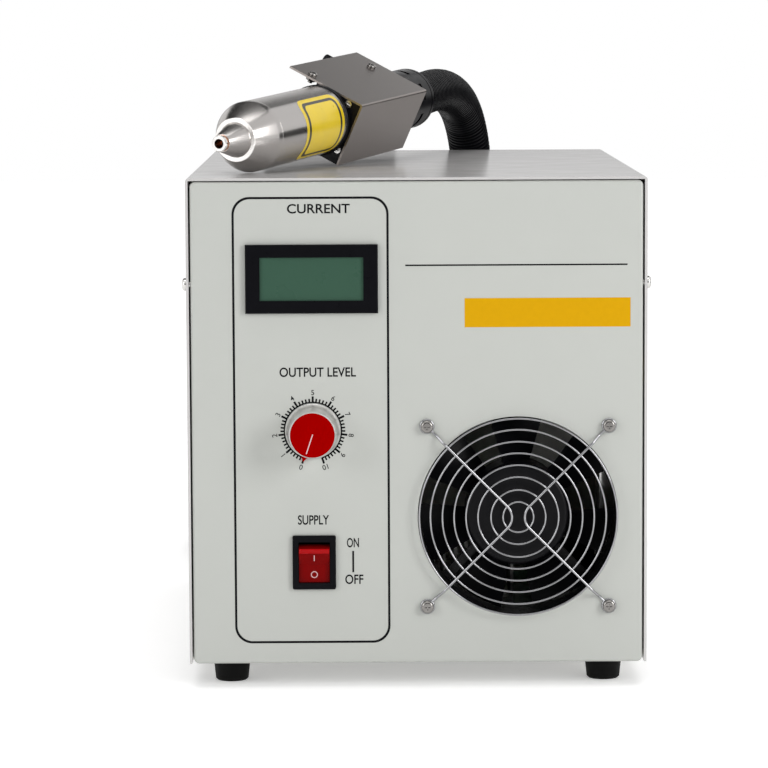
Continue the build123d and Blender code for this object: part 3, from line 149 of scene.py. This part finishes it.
def finish(name, color, rough=0.5, rough_vary=0.05, metal=0.0, vary=0.06, scale=180.0, bump=0.0,
           stretch=(1, 1, 1), spec=0.5, turned_grain=0.0):
    """A node-made material: colour and roughness that wander a little, and a fine relief."""
    mat = bpy.data.materials.new(name)
    tree, shader = nodes_of(mat)
    shader.inputs["Metallic"].default_value = metal
    shader.inputs["Specular IOR Level"].default_value = spec
    noise = texture(tree, scale, 4.0, stretch)
    mix = tree.nodes.new("ShaderNodeMix")
    mix.data_type = "RGBA"
    mix.inputs["A"].default_value = (*[c * (1 - vary) for c in color], 1)
    mix.inputs["B"].default_value = (*[min(1, c * (1 + vary)) for c in color], 1)
    tree.links.new(ramp(tree, noise.outputs["Fac"], 0, 1), mix.inputs["Factor"])
    tree.links.new(mix.outputs["Result"], shader.inputs["Base Color"])
    low, high = max(0.02, rough - rough_vary), rough + rough_vary
    tree.links.new(ramp(tree, noise.outputs["Fac"], low, high), shader.inputs["Roughness"])
    if turned_grain:
        grain = tree.nodes.new("ShaderNodeTangent")
        grain.direction_type = "RADIAL"
        grain.axis = "Z"
        tree.links.new(grain.outputs["Tangent"], shader.inputs["Tangent"])
        shader.inputs["Anisotropic"].default_value = turned_grain
        shader.inputs["Anisotropic Rotation"].default_value = 0.25
    if bump:
        relief = texture(tree, RELIEF_SCALE, 2.0, stretch)
        node = tree.nodes.new("ShaderNodeBump")
        node.inputs["Strength"].default_value = bump
        node.inputs["Distance"].default_value = RELIEF_DEPTH
        tree.links.new(relief.outputs["Fac"], node.inputs["Height"])
        tree.links.new(node.outputs["Normal"], shader.inputs["Normal"])
    return mat


MATS = {name: finish(name, **look) for name, look in LOOKS.items()}


def paint(obj, slot):
    obj.data.materials.clear()
    obj.data.materials.append(MATS[slot])


def dress_cad():
    """Each CAD node takes its slot's node-made material, or a look of its own."""
    for part in frame["record"]["subparts"]:
        paint(NODES[part["node"]], OWN_LOOKS.get(part["node"], part["material_slot"]))


# Shapes

TURN_SIDES, TURN_SMOOTH = 96, 30
INK = 0.05  # thickness of a print
TYPE_SIZE, TYPE_DEPTH, TYPE_GAP = 0.01, 0.00003, 0.00002  # metres
BOLD, LIGHT = 0.00016, 0.00006


def linked(name, data, matrix=None):
    obj = bpy.data.objects.new(name, data)
    bpy.context.collection.objects.link(obj)
    if matrix is not None:
        obj.matrix_world = matrix
    return obj


def mesh_object(name, verts, faces, matrix=None, smooth_to=None):
    """A mesh from points in millimetres, flat or smooth up to an angle between its faces."""
    mesh = bpy.data.meshes.new(name)
    mesh.from_pydata([Vector(v) * MM for v in verts], [], faces)
    work = bmesh.new()
    work.from_mesh(mesh)
    bmesh.ops.recalc_face_normals(work, faces=work.faces)
    work.to_mesh(mesh)
    work.free()
    obj = linked(name, mesh, matrix)
    if smooth_to:
        mesh.shade_smooth()
        mesh.set_sharp_from_angle(angle=math.radians(smooth_to))
    return obj


def mesh_of_curve(name, curve):
    temp = linked(name, curve)
    bpy.context.view_layer.update()
    graph = bpy.context.evaluated_depsgraph_get()
    mesh = bpy.data.meshes.new_from_object(temp.evaluated_get(graph))
    bpy.data.objects.remove(temp)
    mesh.name = name
    return mesh


def place(obj, slot, body="cabinet", node=None):
    """Paint a piece, ride it on its body, and let it stand for a CAD node where one is named."""
    paint(obj, slot)
    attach(obj, body)
    if node:
        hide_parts(node)


def circle(radius, count, cx=0.0, cz=0.0):
    turns = [2 * math.pi * i / count for i in range(count)]
    return [(cx + radius * math.cos(a), cz + radius * math.sin(a)) for a in turns]


def rounded(cx, cz, w, h, r, steps=10):
    """The outline of a rectangle with round corners."""
    points = []
    for sx, sz, start in ((1, 1, 0), (-1, 1, 90), (-1, -1, 180), (1, -1, 270)):
        for i in range(steps + 1):
            a = math.radians(start + 90 * i / steps)
            points.append((cx + sx * (w / 2 - r) + r * math.cos(a),
                           cz + sz * (h / 2 - r) + r * math.sin(a)))
    return points


def turned(name, profile, matrix):
    """A closed solid of revolution about local Z, from (radius, height) points in order."""
    verts, faces, rows = [], [], []
    for r, z in profile:
        ring = circle(r, TURN_SIDES) if r else [(0, 0)]
        rows.append(range(len(verts), len(verts) + len(ring)))
        verts += [(x, y, z) for x, y in ring]
    for a, b in zip(rows, rows[1:] + rows[:1]):
        if len(a) == 1 and len(b) == 1:
            continue
        for i in range(TURN_SIDES):
            j = (i + 1) % TURN_SIDES
            if len(a) == 1:
                faces.append((a[0], b[i], b[j]))
            elif len(b) == 1:
                faces.append((a[i], a[j], b[0]))
            else:
                faces.append((a[i], a[j], b[j], b[i]))
    return mesh_object(name, verts, faces, matrix, smooth_to=TURN_SMOOTH)


def wire(name, paths, radius, closed=False):
    """Round wires along point lists, as one mesh."""
    curve = bpy.data.curves.new(name, "CURVE")
    curve.dimensions = "3D"
    curve.bevel_depth = radius * MM
    curve.bevel_resolution = 3
    curve.use_fill_caps = True
    for points in paths:
        spline = curve.splines.new("POLY")
        spline.points.add(len(points) - 1)
        for p, co in zip(spline.points, points):
            p.co = (co[0] * MM, co[1] * MM, co[2] * MM, 1)
        spline.use_cyclic_u = closed
    mesh = mesh_of_curve(name, curve)
    mesh.shade_smooth()
    return linked(name, mesh)


def flat(name, loops, y=PANEL, lift=INK):
    """Printed ink: outlines in (x, z), each a closed loop, as thin prisms on the panel."""
    verts, faces = [], []
    for loop in loops:
        n, base = len(loop), len(verts)
        verts += [(x, y - lift, z) for x, z in loop] + [(x, y, z) for x, z in loop]
        faces.append(tuple(range(base, base + n)))
        for i in range(n):
            j = (i + 1) % n
            faces.append((base + i, base + j, base + n + j, base + n + i))
    return mesh_object(name, verts, faces)


def band(name, outer, inner, y=PANEL, lift=INK, closed=True):
    """Printed ink between two outlines with the same number of points."""
    n = len(outer)
    verts = [(x, at, z) for at in (y - lift, y) for x, z in outer + inner]
    faces = []
    for i in range(n if closed else n - 1):
        j = (i + 1) % n
        faces += [(i, j, n + j, n + i), (i, j, 2 * n + j, 2 * n + i),
                  (n + i, n + j, 3 * n + j, 3 * n + i)]
    return mesh_object(name, verts, faces)


def lettering(name, words, cx, cz, height, width=None, turn=0.0, thicken=BOLD):
    """Generic words or numbers, centred at (cx, cz), with a set cap height and width."""
    curve = bpy.data.curves.new(name, "FONT")
    curve.body = words
    curve.size = TYPE_SIZE
    curve.extrude = TYPE_DEPTH
    curve.offset = thicken
    curve.resolution_u = 8
    mesh = mesh_of_curve(name, curve)
    xs = [v.co.x for v in mesh.vertices]
    ys = [v.co.y for v in mesh.vertices]
    sy = height * MM / (max(ys) - min(ys))
    sx = width * MM / (max(xs) - min(xs)) if width else sy
    middle = Vector(((max(xs) + min(xs)) / 2, (max(ys) + min(ys)) / 2, 0))
    mesh.transform(Matrix.Diagonal((sx, sy, 1, 1)) @ Matrix.Translation(-middle))
    stand = Matrix.Translation((cx * MM, PANEL * MM - TYPE_GAP, cz * MM))
    mesh.transform(stand @ Matrix.Rotation(math.radians(turn), 4, "Y") @ FORWARD)
    place(linked(name, mesh), "ink")


# Panel printing

OUTLINE_AT, OUTLINE_SIZE, OUTLINE_LINE = (-61.0, 155.35), (88.7, 257.5), 1.3
OUTLINE_CORNERS = 10, 9  # outside and inside of the line
CAPTIONS = (  # name, words, x, z, height, width
    ("caption_meter", "CURRENT", -56.2, 277.9, 5.5, 36),
    ("caption_dial", "OUTPUT LEVEL", -57.2, 183.8, 5.5, 44),
    ("caption_switch", "SUPPLY", -60.2, 98.0, 5.6, 18),
    ("mark_on", "ON", -37.5, 84.6, 5.6, 7.0),
    ("mark_off", "OFF", -36.8, 63.2, 5.6, 10.5),
)
STRIPS = (  # name, slot, left, right, bottom, top
    ("mark_line", "ink", -37.95, -36.85, 67.3, 79.8),
    ("header_line", "ink", -6.6, 121, 244.65, 245.55),
    ("amber_strip", "amber_ink", 27.4, 122.8, 209.25, 226.05),
)
DIAL_ZERO, DIAL_SWEEP = 18.4, 323.2  # clockwise from straight down
RING_INSIDE, RING_OUTSIDE, RING_STEPS = 16.1, 16.9, 120
TICKS, TICK_FROM = 50, 16.4
LONG_TICK, SHORT_TICK = (20.0, 0.6), (18.7, 0.47)  # reach and half width
NUMBERS, NUMBERS_AT, NUMBER_HEIGHT = 10, 22.2, 3.0


def around_dial(radius, degrees):
    """A point on the panel, the angle running clockwise from straight down."""
    a = math.radians(degrees)
    return DIAL[0] - radius * math.sin(a), DIAL[1] - radius * math.cos(a)


def print_panel():
    w, h = OUTLINE_SIZE
    edges = [rounded(*OUTLINE_AT, w + side * OUTLINE_LINE, h + side * OUTLINE_LINE, corner)
             for side, corner in zip((1, -1), OUTLINE_CORNERS)]
    place(band("panel_outline", *edges), "ink")
    for caption in CAPTIONS:
        lettering(*caption)
    for name, slot, x0, x1, z0, z1 in STRIPS:
        place(flat(name, [[(x0, z0), (x1, z0), (x1, z1), (x0, z1)]]), slot)


def print_dial():
    angles = [DIAL_ZERO + DIAL_SWEEP * i / RING_STEPS for i in range(RING_STEPS + 1)]
    outer = [around_dial(RING_OUTSIDE, a) for a in angles]
    inner = [around_dial(RING_INSIDE, a) for a in angles]
    place(band("dial_ring", outer, inner, closed=False), "ink")
    loops = []
    for i in range(TICKS + 1):
        a = DIAL_ZERO + DIAL_SWEEP * i / TICKS
        reach, half = LONG_TICK if i % 5 == 0 else SHORT_TICK
        (x0, z0), (x1, z1) = around_dial(TICK_FROM, a), around_dial(reach, a)
        dx, dz = math.cos(math.radians(a)) * half, -math.sin(math.radians(a)) * half
        loops.append([(x0 - dx, z0 - dz), (x0 + dx, z0 + dz), (x1 + dx, z1 + dz), (x1 - dx, z1 - dz)])
    place(flat("dial_ticks", loops), "ink")
    for k in range(NUMBERS + 1):
        a = DIAL_ZERO + DIAL_SWEEP * k / NUMBERS
        lettering(f"dial_number_{k}", str(k), *around_dial(NUMBERS_AT, a), NUMBER_HEIGHT,
                  turn=a + 180, thicken=LIGHT)


# Torch: local Z runs from the nozzle to the hose, and is 0 where the nose reaches its full width

TORCH_TURN, TORCH_TILT, TORCH_ROLL = 24.61, 4.2, 26.48
TORCH_AT = (-98.53, -132.93)
TORCH_REST = 295.8  # height of the barrel's lowest line, under the origin
BARREL_R = 21.0

TORCH_RINGS = (  # name, slot, node it stands for, profile
    ("tip", "copper_tip", "nozzle_tip",
     [(2.9, -37.6), (4.3, -37.6), (4.8, -37.2), (4.8, -34), (3.8, -34), (3.8, -28), (2.9, -28)]),
    # A skin over the tip's front face, in a lighter steel than the turned parts
    ("tip_face", "pale_steel_and_highlight", None,
     [(2.9, -37.62), (4.3, -37.62), (4.85, -37.2), (4.85, -35.9), (2.85, -35.9)]),
    ("nozzle_cone", "turned_steel", "nozzle",
     [(3.8, -34), (5.2, -34), (5.5, -33.7), (10.3, -16.6), (10.4, -16.4), (10.4, 2), (5.5, 2),
      (5.5, -28), (3.8, -28)]),
    # A skin over the nose's flat step in a lighter copy of the turned steel: painted highlight
    ("nozzle_step", "pale_steel_and_highlight", None,
     [(10.45, -16.46), (12.8, -16.46), (13.1, -16.15), (13.1, -16.0), (10.45, -16.0)]),
    ("nose_cone", "turned_steel", "torch_nose",
     [(10.4, -16.4), (12.8, -16.4), (13.1, -16.1), (20.75, -0.6), (21, 0.1), (21, 4.7), (20.8, 4.8),
      (19, 4.8), (19, 12.8), (16, 12.8), (16, 2), (10.4, 2)]),
    ("barrel", "turned_steel", "torch_body",
     [(19, 4.9), (20.8, 4.9), (21, 5.1), (21, 93.8), (20.8, 94), (19, 94)]),
    ("collar", "black_plastic", "torch_collar",
     [(13, 94), (21, 94), (21.7, 94.7), (21.7, 95.6), (20.7, 95.8), (20.7, 96.2), (21.7, 96.4),
      (21.7, 97.4), (13, 97.4)]),
)
FILMS = (  # name, slot, from and to along the barrel, from and to around it, lift, corner
    ("film_yellow", "yellow_film", 38, 91, -80, 34, 0.05, 7),
    ("film_line", "film_edge", 41.5, 87.5, -72.5, 26.5, 0.09, 5),
    ("film_inner", "yellow_film", 44.0, 85.0, -67, 21, 0.13, 4),
)
FILM_STEPS = 36


def torch_matrix():
    az, tilt, roll = (math.radians(v) for v in (TORCH_TURN, TORCH_TILT, TORCH_ROLL))
    along = Vector((math.sin(az) * math.cos(tilt), math.cos(az) * math.cos(tilt), math.sin(tilt)))
    side = Vector((math.cos(az), -math.sin(az), 0))
    up = side.cross(along)
    across = side * math.cos(roll) - up * math.sin(roll)
    down = along.cross(across)
    origin = Vector((*TORCH_AT, TORCH_REST + BARREL_R * math.cos(tilt))) * MM
    basis = Matrix((across, down, along)).transposed().to_4x4()
    return Matrix.Translation(origin) @ basis


TORCH = torch_matrix()


def film(name, s0, s1, p0, p1, lift, corner):
    """A rounded film wrapped on the barrel between two distances and two angles."""
    radius = BARREL_R + lift
    width = math.radians(p1 - p0) * radius
    work = bmesh.new()
    outline = rounded((s0 + s1) / 2, 0, s1 - s0, width, corner, 8)
    work.faces.new([work.verts.new((x, y, 0)) for x, y in outline])
    for i in range(1, FILM_STEPS):
        y = -width / 2 + width * i / FILM_STEPS
        bmesh.ops.bisect_plane(work, geom=work.verts[:] + work.edges[:] + work.faces[:],
                               plane_co=(0, y, 0), plane_no=(0, 1, 0))
    middle = math.radians((p0 + p1) / 2)
    for v in work.verts:
        a = middle + v.co.y / radius
        v.co = Vector((radius * math.cos(a), radius * math.sin(a), v.co.x)) * MM
    mesh = bpy.data.meshes.new(name)
    work.to_mesh(mesh)
    work.free()
    mesh.shade_smooth()
    return linked(name, mesh, TORCH)


def build_torch():
    for name, slot, node, profile in TORCH_RINGS:
        place(turned(name, profile, TORCH), slot, "torch", node)
    for name, slot, *shape in FILMS:
        place(film(name, *shape), slot, "torch")


# Finger guard

ARM_WIRE, RING_WIRE, LOOP_WIRE = 0.78, 0.58, 0.8  # wire radii
ARM_FRONT, ARM_HIGH = PANEL - 0.8, PANEL - 5.5  # an arm's ends, and its middle over the rings
ARM_BEND = 8.9  # radius of an arm's turn at the middle of the guard
RINGS_AT = PANEL - 4.2
RINGS = (8.8, 15.8, 23.3, 30.2, 37.1, 43.8, 50.7, 57.1)
LOOPS_AT, LOOP_R = 52.5, 3.6  # offset of the screws from the fan's middle


def build_guard():
    fx, fz = FAN
    diagonal = math.sqrt(0.5)
    arms = []
    for side in (-1, 1):
        upper = [(fx + side * r * diagonal, y, fz + r * diagonal)
                 for r, y in ((70.4, ARM_FRONT), (66.8, ARM_FRONT), (65.6, ARM_FRONT - 0.5),
                              (61.4, ARM_HIGH + 0.4), (60.2, ARM_HIGH), (59, ARM_HIGH))]
        turn = []
        for i in range(17):
            a = math.radians(-45 + 90 * i / 16)
            turn.append((fx + side * (ARM_BEND * math.sqrt(2) - ARM_BEND * math.cos(a)), ARM_HIGH,
                         fz - ARM_BEND * math.sin(a)))
        lower = [(x, y, 2 * fz - z) for x, y, z in reversed(upper)]
        arms.append(upper + turn + lower)
    place(wire("guard_wires", arms, ARM_WIRE), "chromed_wire", node="fan_grille")
    rings = [[(x, RINGS_AT, z) for x, z in circle(r, 64 if r < 25 else 128, fx, fz)] for r in RINGS]
    place(wire("guard_rings", rings, RING_WIRE, closed=True), "chromed_wire")
    loops = [[(x, ARM_FRONT, z) for x, z in circle(LOOP_R, 40, fx + sx * LOOPS_AT, fz + sz * LOOPS_AT)]
             for sx in (-1, 1) for sz in (-1, 1)]
    place(wire("guard_loops", loops, LOOP_WIRE, closed=True), "chromed_wire")


# Knob

KNOB_BASE = PANEL - 0.6
KNOB_HEIGHT = 22.65
KNOB_SKIRT = [(9.5, 0), (15.5, 0), (15.8, 0.3), (15.8, 1.2), (15.5, 1.5), (14.6, 4.5), (14.2, 7),
              (13.3, 21.8), (12.9, 22.4), (12.8, 22.4), (12.8, 20.4), (0, 20.4), (0, 7), (9.5, 7)]
KNOB_FACE = [(0, 20.5), (12.75, 20.5), (12.75, 22.3), (12.4, KNOB_HEIGHT), (0, KNOB_HEIGHT)]
KNOB_LINE = ((-0.3, 0.6), (0.3, 0.6), (0.3, -11.2), (-0.3, -11.2))


def build_knob():
    stand = Matrix.Translation((DIAL[0] * MM, KNOB_BASE * MM, DIAL[1] * MM)) @ FORWARD
    place(turned("knob_skirt", KNOB_SKIRT, stand), "bright_aluminium", "dial", "dial_knob")
    place(turned("knob_face", KNOB_FACE, stand), "red_plastic", "dial", "dial_cap")
    a = math.radians(DIAL_ZERO)
    line = [(DIAL[0] + x * math.cos(a) + z * math.sin(a), DIAL[1] - x * math.sin(a) + z * math.cos(a))
            for x, z in KNOB_LINE]
    place(flat("knob_line", [line], y=KNOB_BASE - KNOB_HEIGHT, lift=0.04), "white_ink", "dial")


# Rocker marks and lip, the lip's lighter red being painted highlight: the lower face stands upright,
# the upper one leans out at twice the rocker's tilt

ROCKER_LEAN = 24
ROCKER_RIDGE = (PANEL + 5.0 - 5.282, SWITCH[1] - 1.123)  # y and z of the line where its faces meet
ROCKER_BAR = ((-0.25, 2.2), (0.25, 2.2), (0.25, 6.0), (-0.25, 6.0))
# The lip is a raised strip across the upper face; its lighter red is painted highlight
ROCKER_LIP = ((-8.7, 7.2, 0.0), (-8.7, 7.5, 0.35), (-8.7, 9.9, 0.35), (-8.7, 10.4, 0.0))
RING_BELOW, RING_RADII = 7.2, (2.0, 1.5)
MARK_LIFT = 0.04


def upper_face(x, along, lift):
    """A point over the upper face, at a distance up it from the ridge."""
    y, z = ROCKER_RIDGE
    lean = math.radians(ROCKER_LEAN)
    return (SWITCH[0] + x, y - along * math.sin(lean) - lift * math.cos(lean),
            z + along * math.cos(lean) - lift * math.sin(lean))


def build_rocker_marks():
    verts = [upper_face(x, s, lift) for lift in (MARK_LIFT, 0.0) for x, s in ROCKER_BAR]
    faces = [(0, 1, 2, 3)] + [(i, (i + 1) % 4, 4 + (i + 1) % 4, 4 + i) for i in range(4)]
    place(mesh_object("mark_bar", verts, faces), "white_ink", "switch_lever")
    rings = [circle(r, 32, SWITCH[0], SWITCH[1] - RING_BELOW) for r in RING_RADII]
    place(band("mark_ring", *rings, y=ROCKER_RIDGE[0], lift=MARK_LIFT), "white_ink", "switch_lever")
    verts = [upper_face(x * side, s, lift) for side in (1, -1) for x, s, lift in ROCKER_LIP]
    faces = [(0, 1, 2, 3), (7, 6, 5, 4)] + [(i, i + 4, i + 5, i + 1) for i in range(3)]
    place(mesh_object("rocker_lip", verts, faces), "lip_highlight_red", "switch_lever")


# Hose: an arch from the torch, a drop behind the cabinet, a flat coil on the floor, and a rise to
# the rear gland

HOSE_MOUTH, ARCH_FROM = 0.229, 0.232  # metres behind the torch's origin
ARCH_HEADING = 17.13
ARCH = ((33.6, 335.6), (67.9, 338.4), (99.9, 335.4), (127.5, 325.3), (147.1, 306.7), (157.6, 281.5),
        (161.1, 247.8), (162.3, 205.6))  # distance along the heading, and height
DROP = [(50.5, 236.0, 162.0), (64.0, 241.0, 121.0), (84.0, 253.0, 85.0), (105.0, 275.0, 56.0),
        (121.0, 306.0, 36.0), (129.5, 342.0, 22.0)]
COIL_AT, COIL_HEIGHT = (9.5, 367.0), 14.2
COIL_INNER, COIL_OUTER = 122.5, 150.6
COIL_ANGLES = range(93, 599, 15)
WIDEN_FROM, WIDEN_OVER = 325, 85  # where the inner turn grows into the outer one
LEAVE = ((253, 149.5, 16.0), (266, 149.5, 24.0))  # angle, radius and height as the hose lifts off
RISE = [(-136.0, 328.0, 33.0), (-123.0, 293.0, 48.0), (-107.0, 260.0, 59.0), (-97.0, 236.0, 61.5),
        (-97.0, 221.0, 62.0)]
RIB_PITCH, RIB_SIDES = 3.1, 32
RIB = ((0.0, 14.0), (0.28, 14.0), (0.46, 12.4), (0.82, 12.4))  # share of the pitch, and radius


def on_coil(angle, radius, z):
    a = math.radians(angle)
    return COIL_AT[0] + radius * math.sin(a), COIL_AT[1] - radius * math.cos(a), z


def hose_points():
    """Control points of the hose's middle line."""
    points = [tuple((TORCH @ Vector((0, 0, HOSE_MOUTH))) / MM)]
    start = TORCH @ Vector((0, 0, ARCH_FROM))
    heading = math.radians(ARCH_HEADING)
    points += [(start.x / MM + t * math.sin(heading), start.y / MM + t * math.cos(heading), z)
               for t, z in ARCH]
    points += DROP
    for angle in COIL_ANGLES:
        share = min(1, max(0, (angle - WIDEN_FROM) / WIDEN_OVER))
        share = share * share * (3 - 2 * share)
        points.append(on_coil(angle, COIL_INNER + (COIL_OUTER - COIL_INNER) * share, COIL_HEIGHT))
    return points + [on_coil(*leave) for leave in LEAVE] + RISE


def smooth_line(points):
    """Points read from the NURBS spline that has these control points."""
    curve = bpy.data.curves.new("hose_line", "CURVE")
    curve.dimensions = "3D"
    curve.resolution_u = 10
    spline = curve.splines.new("NURBS")
    spline.points.add(len(points) - 1)
    for p, co in zip(spline.points, points):
        p.co = (*co, 1)
    spline.order_u = 3
    spline.use_endpoint_u = True
    mesh = mesh_of_curve("hose_line", curve)
    line = [v.co.copy() for v in mesh.vertices]
    bpy.data.meshes.remove(mesh)
    return line


def ribbed_tube(name, line, lengths):
    """A ribbed tube along a line whose points lie at these lengths."""
    verts, faces = [], []
    normal = Vector((0, 0, 1))
    k, rings = 0, 0
    count = int(lengths[-1] / RIB_PITCH)
    for i in range(count):
        for share, radius in RIB:
            at = (i + share) * lengths[-1] / count
            while k < len(lengths) - 2 and lengths[k + 1] < at:
                k += 1
            run = line[k + 1] - line[k]
            centre = line[k] + run * ((at - lengths[k]) / run.length)
            ahead = line[min(k + 2, len(line) - 1)] - line[max(k - 1, 0)]
            tangent = ahead.normalized()
            normal = (normal - tangent * normal.dot(tangent)).normalized()
            other = tangent.cross(normal)
            for j in range(RIB_SIDES):
                a = 2 * math.pi * j / RIB_SIDES
                verts.append(centre + (normal * math.cos(a) + other * math.sin(a)) * radius)
            rings += 1
    for i in range(rings - 1):
        for j in range(RIB_SIDES):
            a, b = i * RIB_SIDES + j, i * RIB_SIDES + (j + 1) % RIB_SIDES
            faces.append((a, b, b + RIB_SIDES, a + RIB_SIDES))
    faces.append(tuple(reversed(range(RIB_SIDES))))
    faces.append(tuple(range((rings - 1) * RIB_SIDES, rings * RIB_SIDES)))
    return mesh_object(name, verts, faces, smooth_to=60)


def build_hose():
    line = smooth_line(hose_points())
    lengths = [0.0]
    for a, b in zip(line, line[1:]):
        lengths.append(lengths[-1] + (b - a).length)
    hose = ribbed_tube("hose", line, lengths)
    paint(hose, "black_hose")
    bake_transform(hose)
    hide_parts("hose_lead", "hose_coil", "hose_tail")


# Camera, light, floor and cards of painted reflection: lengths in metres

CAMERA_AT = (-0.0283, -2.2609, 0.3915)
CAMERA_YAW, CAMERA_PITCH, CAMERA_ROLL = 0.256, 5.949, -0.277
SENSOR, LENS = 36, 168.75  # millimetres
# Cards that only reflections see, each glowing at its grey level: painted reflection, grey behind the
# object, dark to the right, above and in front
CARDS_BEHIND, CARDS_TOP = 1.3, 0.5
BEHIND = (("far_left_card", -0.9, -0.13, 0.55), ("behind_card", -0.13, 0.0, 0.08),
          ("far_right_card", 0.0, 1.0, 0.5))  # name, from x, to x, grey level
DARK = 0.01
DARK_CARDS = (
    ("right_card", [(0.6, 1.25, 0.0), (1.3, 0.1, 0.0), (1.3, 0.1, 0.42), (0.6, 1.25, 0.42)]),
    ("top_card", [(-1.3, -0.15, 1.5), (0.7, -0.15, 1.5), (0.7, 2.2, 1.5), (-1.3, 2.2, 1.5)]),
    ("front_card", [(-0.8, -2.7, 0.0), (0.8, -2.7, 0.0), (0.8, -2.7, 1.3), (-0.8, -2.7, 1.3)]),
)
BOX_SIZE, BOX_TARGET = (0.7, 0.9), (0, -0.2, 0.15)
BOXES = (("left_box", (-1.3, -1.2, 0.75), 7), ("right_box", (1.35, -1.3, 0.8), 15.5))
SUN_POWER, SUN_SPREAD, SUN_LEAN = 1.5, 60, -8
WORLD_LIGHT, WORLD_COLOR = 0.32, (1, 0.99, 0.98, 1)
FLOOR_LIFT = 0.3


def camera():
    data = bpy.data.cameras.new("camera")
    data.sensor_width = SENSOR
    data.lens = LENS
    data.clip_end = 50
    yaw, pitch, roll = (math.radians(v) for v in (CAMERA_YAW, CAMERA_PITCH, CAMERA_ROLL))
    ahead = Vector((math.sin(yaw) * math.cos(pitch), math.cos(yaw) * math.cos(pitch),
                    -math.sin(pitch)))
    right = Vector((math.cos(yaw), -math.sin(yaw), 0))
    up = right.cross(ahead)
    r = right * math.cos(roll) + up * math.sin(roll)
    u = up * math.cos(roll) - right * math.sin(roll)
    basis = Matrix((r, u, -ahead)).transposed().to_4x4()
    bpy.context.scene.camera = linked("camera", data, Matrix.Translation(CAMERA_AT) @ basis)


def softbox(name, place_at, power):
    data = bpy.data.lights.new(name, "AREA")
    data.shape = "RECTANGLE"
    data.size, data.size_y = BOX_SIZE
    data.energy = power
    aim = (Vector(BOX_TARGET) - Vector(place_at)).normalized().to_track_quat("-Z", "Y")
    linked(name, data, Matrix.Translation(place_at) @ aim.to_matrix().to_4x4())


def seen_rays(tree):
    """1 for camera, glossy and transmission rays, 0 for the light on the object."""
    path = tree.nodes.new("ShaderNodeLightPath")
    total = path.outputs["Is Camera Ray"]
    for kind in ("Is Glossy Ray", "Is Transmission Ray"):
        node = tree.nodes.new("ShaderNodeMath")
        node.operation = "MAXIMUM"
        tree.links.new(total, node.inputs[0])
        tree.links.new(path.outputs[kind], node.inputs[1])
        total = node.outputs[0]
    return total


def whiten(mat, amount):
    """Lift the floor to the backdrop's white, for seen rays only."""
    tree, shader = nodes_of(mat)
    scale = tree.nodes.new("ShaderNodeMath")
    scale.operation = "MULTIPLY"
    scale.inputs[1].default_value = amount
    tree.links.new(seen_rays(tree), scale.inputs[0])
    shader.inputs["Emission Color"].default_value = (1, 1, 1, 1)
    tree.links.new(scale.outputs[0], shader.inputs["Emission Strength"])


def card(name, corners, level=DARK):
    """A card glowing at a grey level that only reflections see: painted reflection, grey or dark, on
    bare metal and gloss paint.
    """
    mesh = bpy.data.meshes.new(name)
    mesh.from_pydata(corners, [], [(0, 1, 2, 3)])
    obj = linked(name, mesh)
    mat = bpy.data.materials.new(name)
    _, shader = nodes_of(mat)
    shader.inputs["Base Color"].default_value = (0, 0, 0, 1)
    shader.inputs["Specular IOR Level"].default_value = 0.0
    shader.inputs["Emission Color"].default_value = (1, 1, 1, 1)
    shader.inputs["Emission Strength"].default_value = level
    mat.cycles.emission_sampling = "NONE"
    mesh.materials.append(mat)
    obj.visible_camera = False
    obj.visible_diffuse = False
    obj.visible_shadow = False
    obj.visible_transmission = False


def floor_and_world():
    """A white floor that runs into a white backdrop, which lights the object more dimly."""
    bpy.ops.mesh.primitive_plane_add(size=12, location=(0, 0, 0))
    floor = bpy.context.object
    floor.name = "floor"
    white = finish("floor_white", (0.94, 0.94, 0.94), 0.7, vary=0.004, scale=5, spec=0.1)
    floor.data.materials.append(white)
    whiten(white, FLOOR_LIFT)
    world = bpy.data.worlds.new("studio")
    bpy.context.scene.world = world
    world.use_nodes = True
    tree = world.node_tree
    light = tree.nodes["Background"]
    light.inputs["Color"].default_value = WORLD_COLOR
    light.inputs["Strength"].default_value = WORLD_LIGHT
    backdrop = tree.nodes.new("ShaderNodeBackground")
    backdrop.inputs["Color"].default_value = (1, 1, 1, 1)
    mix = tree.nodes.new("ShaderNodeMixShader")
    tree.links.new(seen_rays(tree), mix.inputs[0])
    tree.links.new(light.outputs[0], mix.inputs[1])
    tree.links.new(backdrop.outputs[0], mix.inputs[2])
    tree.links.new(mix.outputs[0], tree.nodes["World Output"].inputs["Surface"])


def cards_and_lights():
    y, z = CARDS_BEHIND, CARDS_TOP
    for name, x0, x1, level in BEHIND:
        card(name, [(x0, y, 0.0), (x1, y, 0.0), (x1, y, z), (x0, y, z)], level)
    for name, corners in DARK_CARDS:
        card(name, corners)
    for name, place_at, power in BOXES:
        softbox(name, place_at, power)
    data = bpy.data.lights.new("overhead", "SUN")
    data.energy = SUN_POWER
    data.angle = math.radians(SUN_SPREAD)
    linked("overhead", data).rotation_euler = (math.radians(SUN_LEAN), 0, 0)
    bpy.context.scene.view_settings.view_transform = "Standard"
    bpy.context.scene.view_settings.look = "None"


dress_cad()
print_panel()
print_dial()
build_torch()
build_guard()
build_knob()
build_rocker_marks()
build_hose()
camera()
floor_and_world()
cards_and_lights()
bpy.context.view_layer.update()
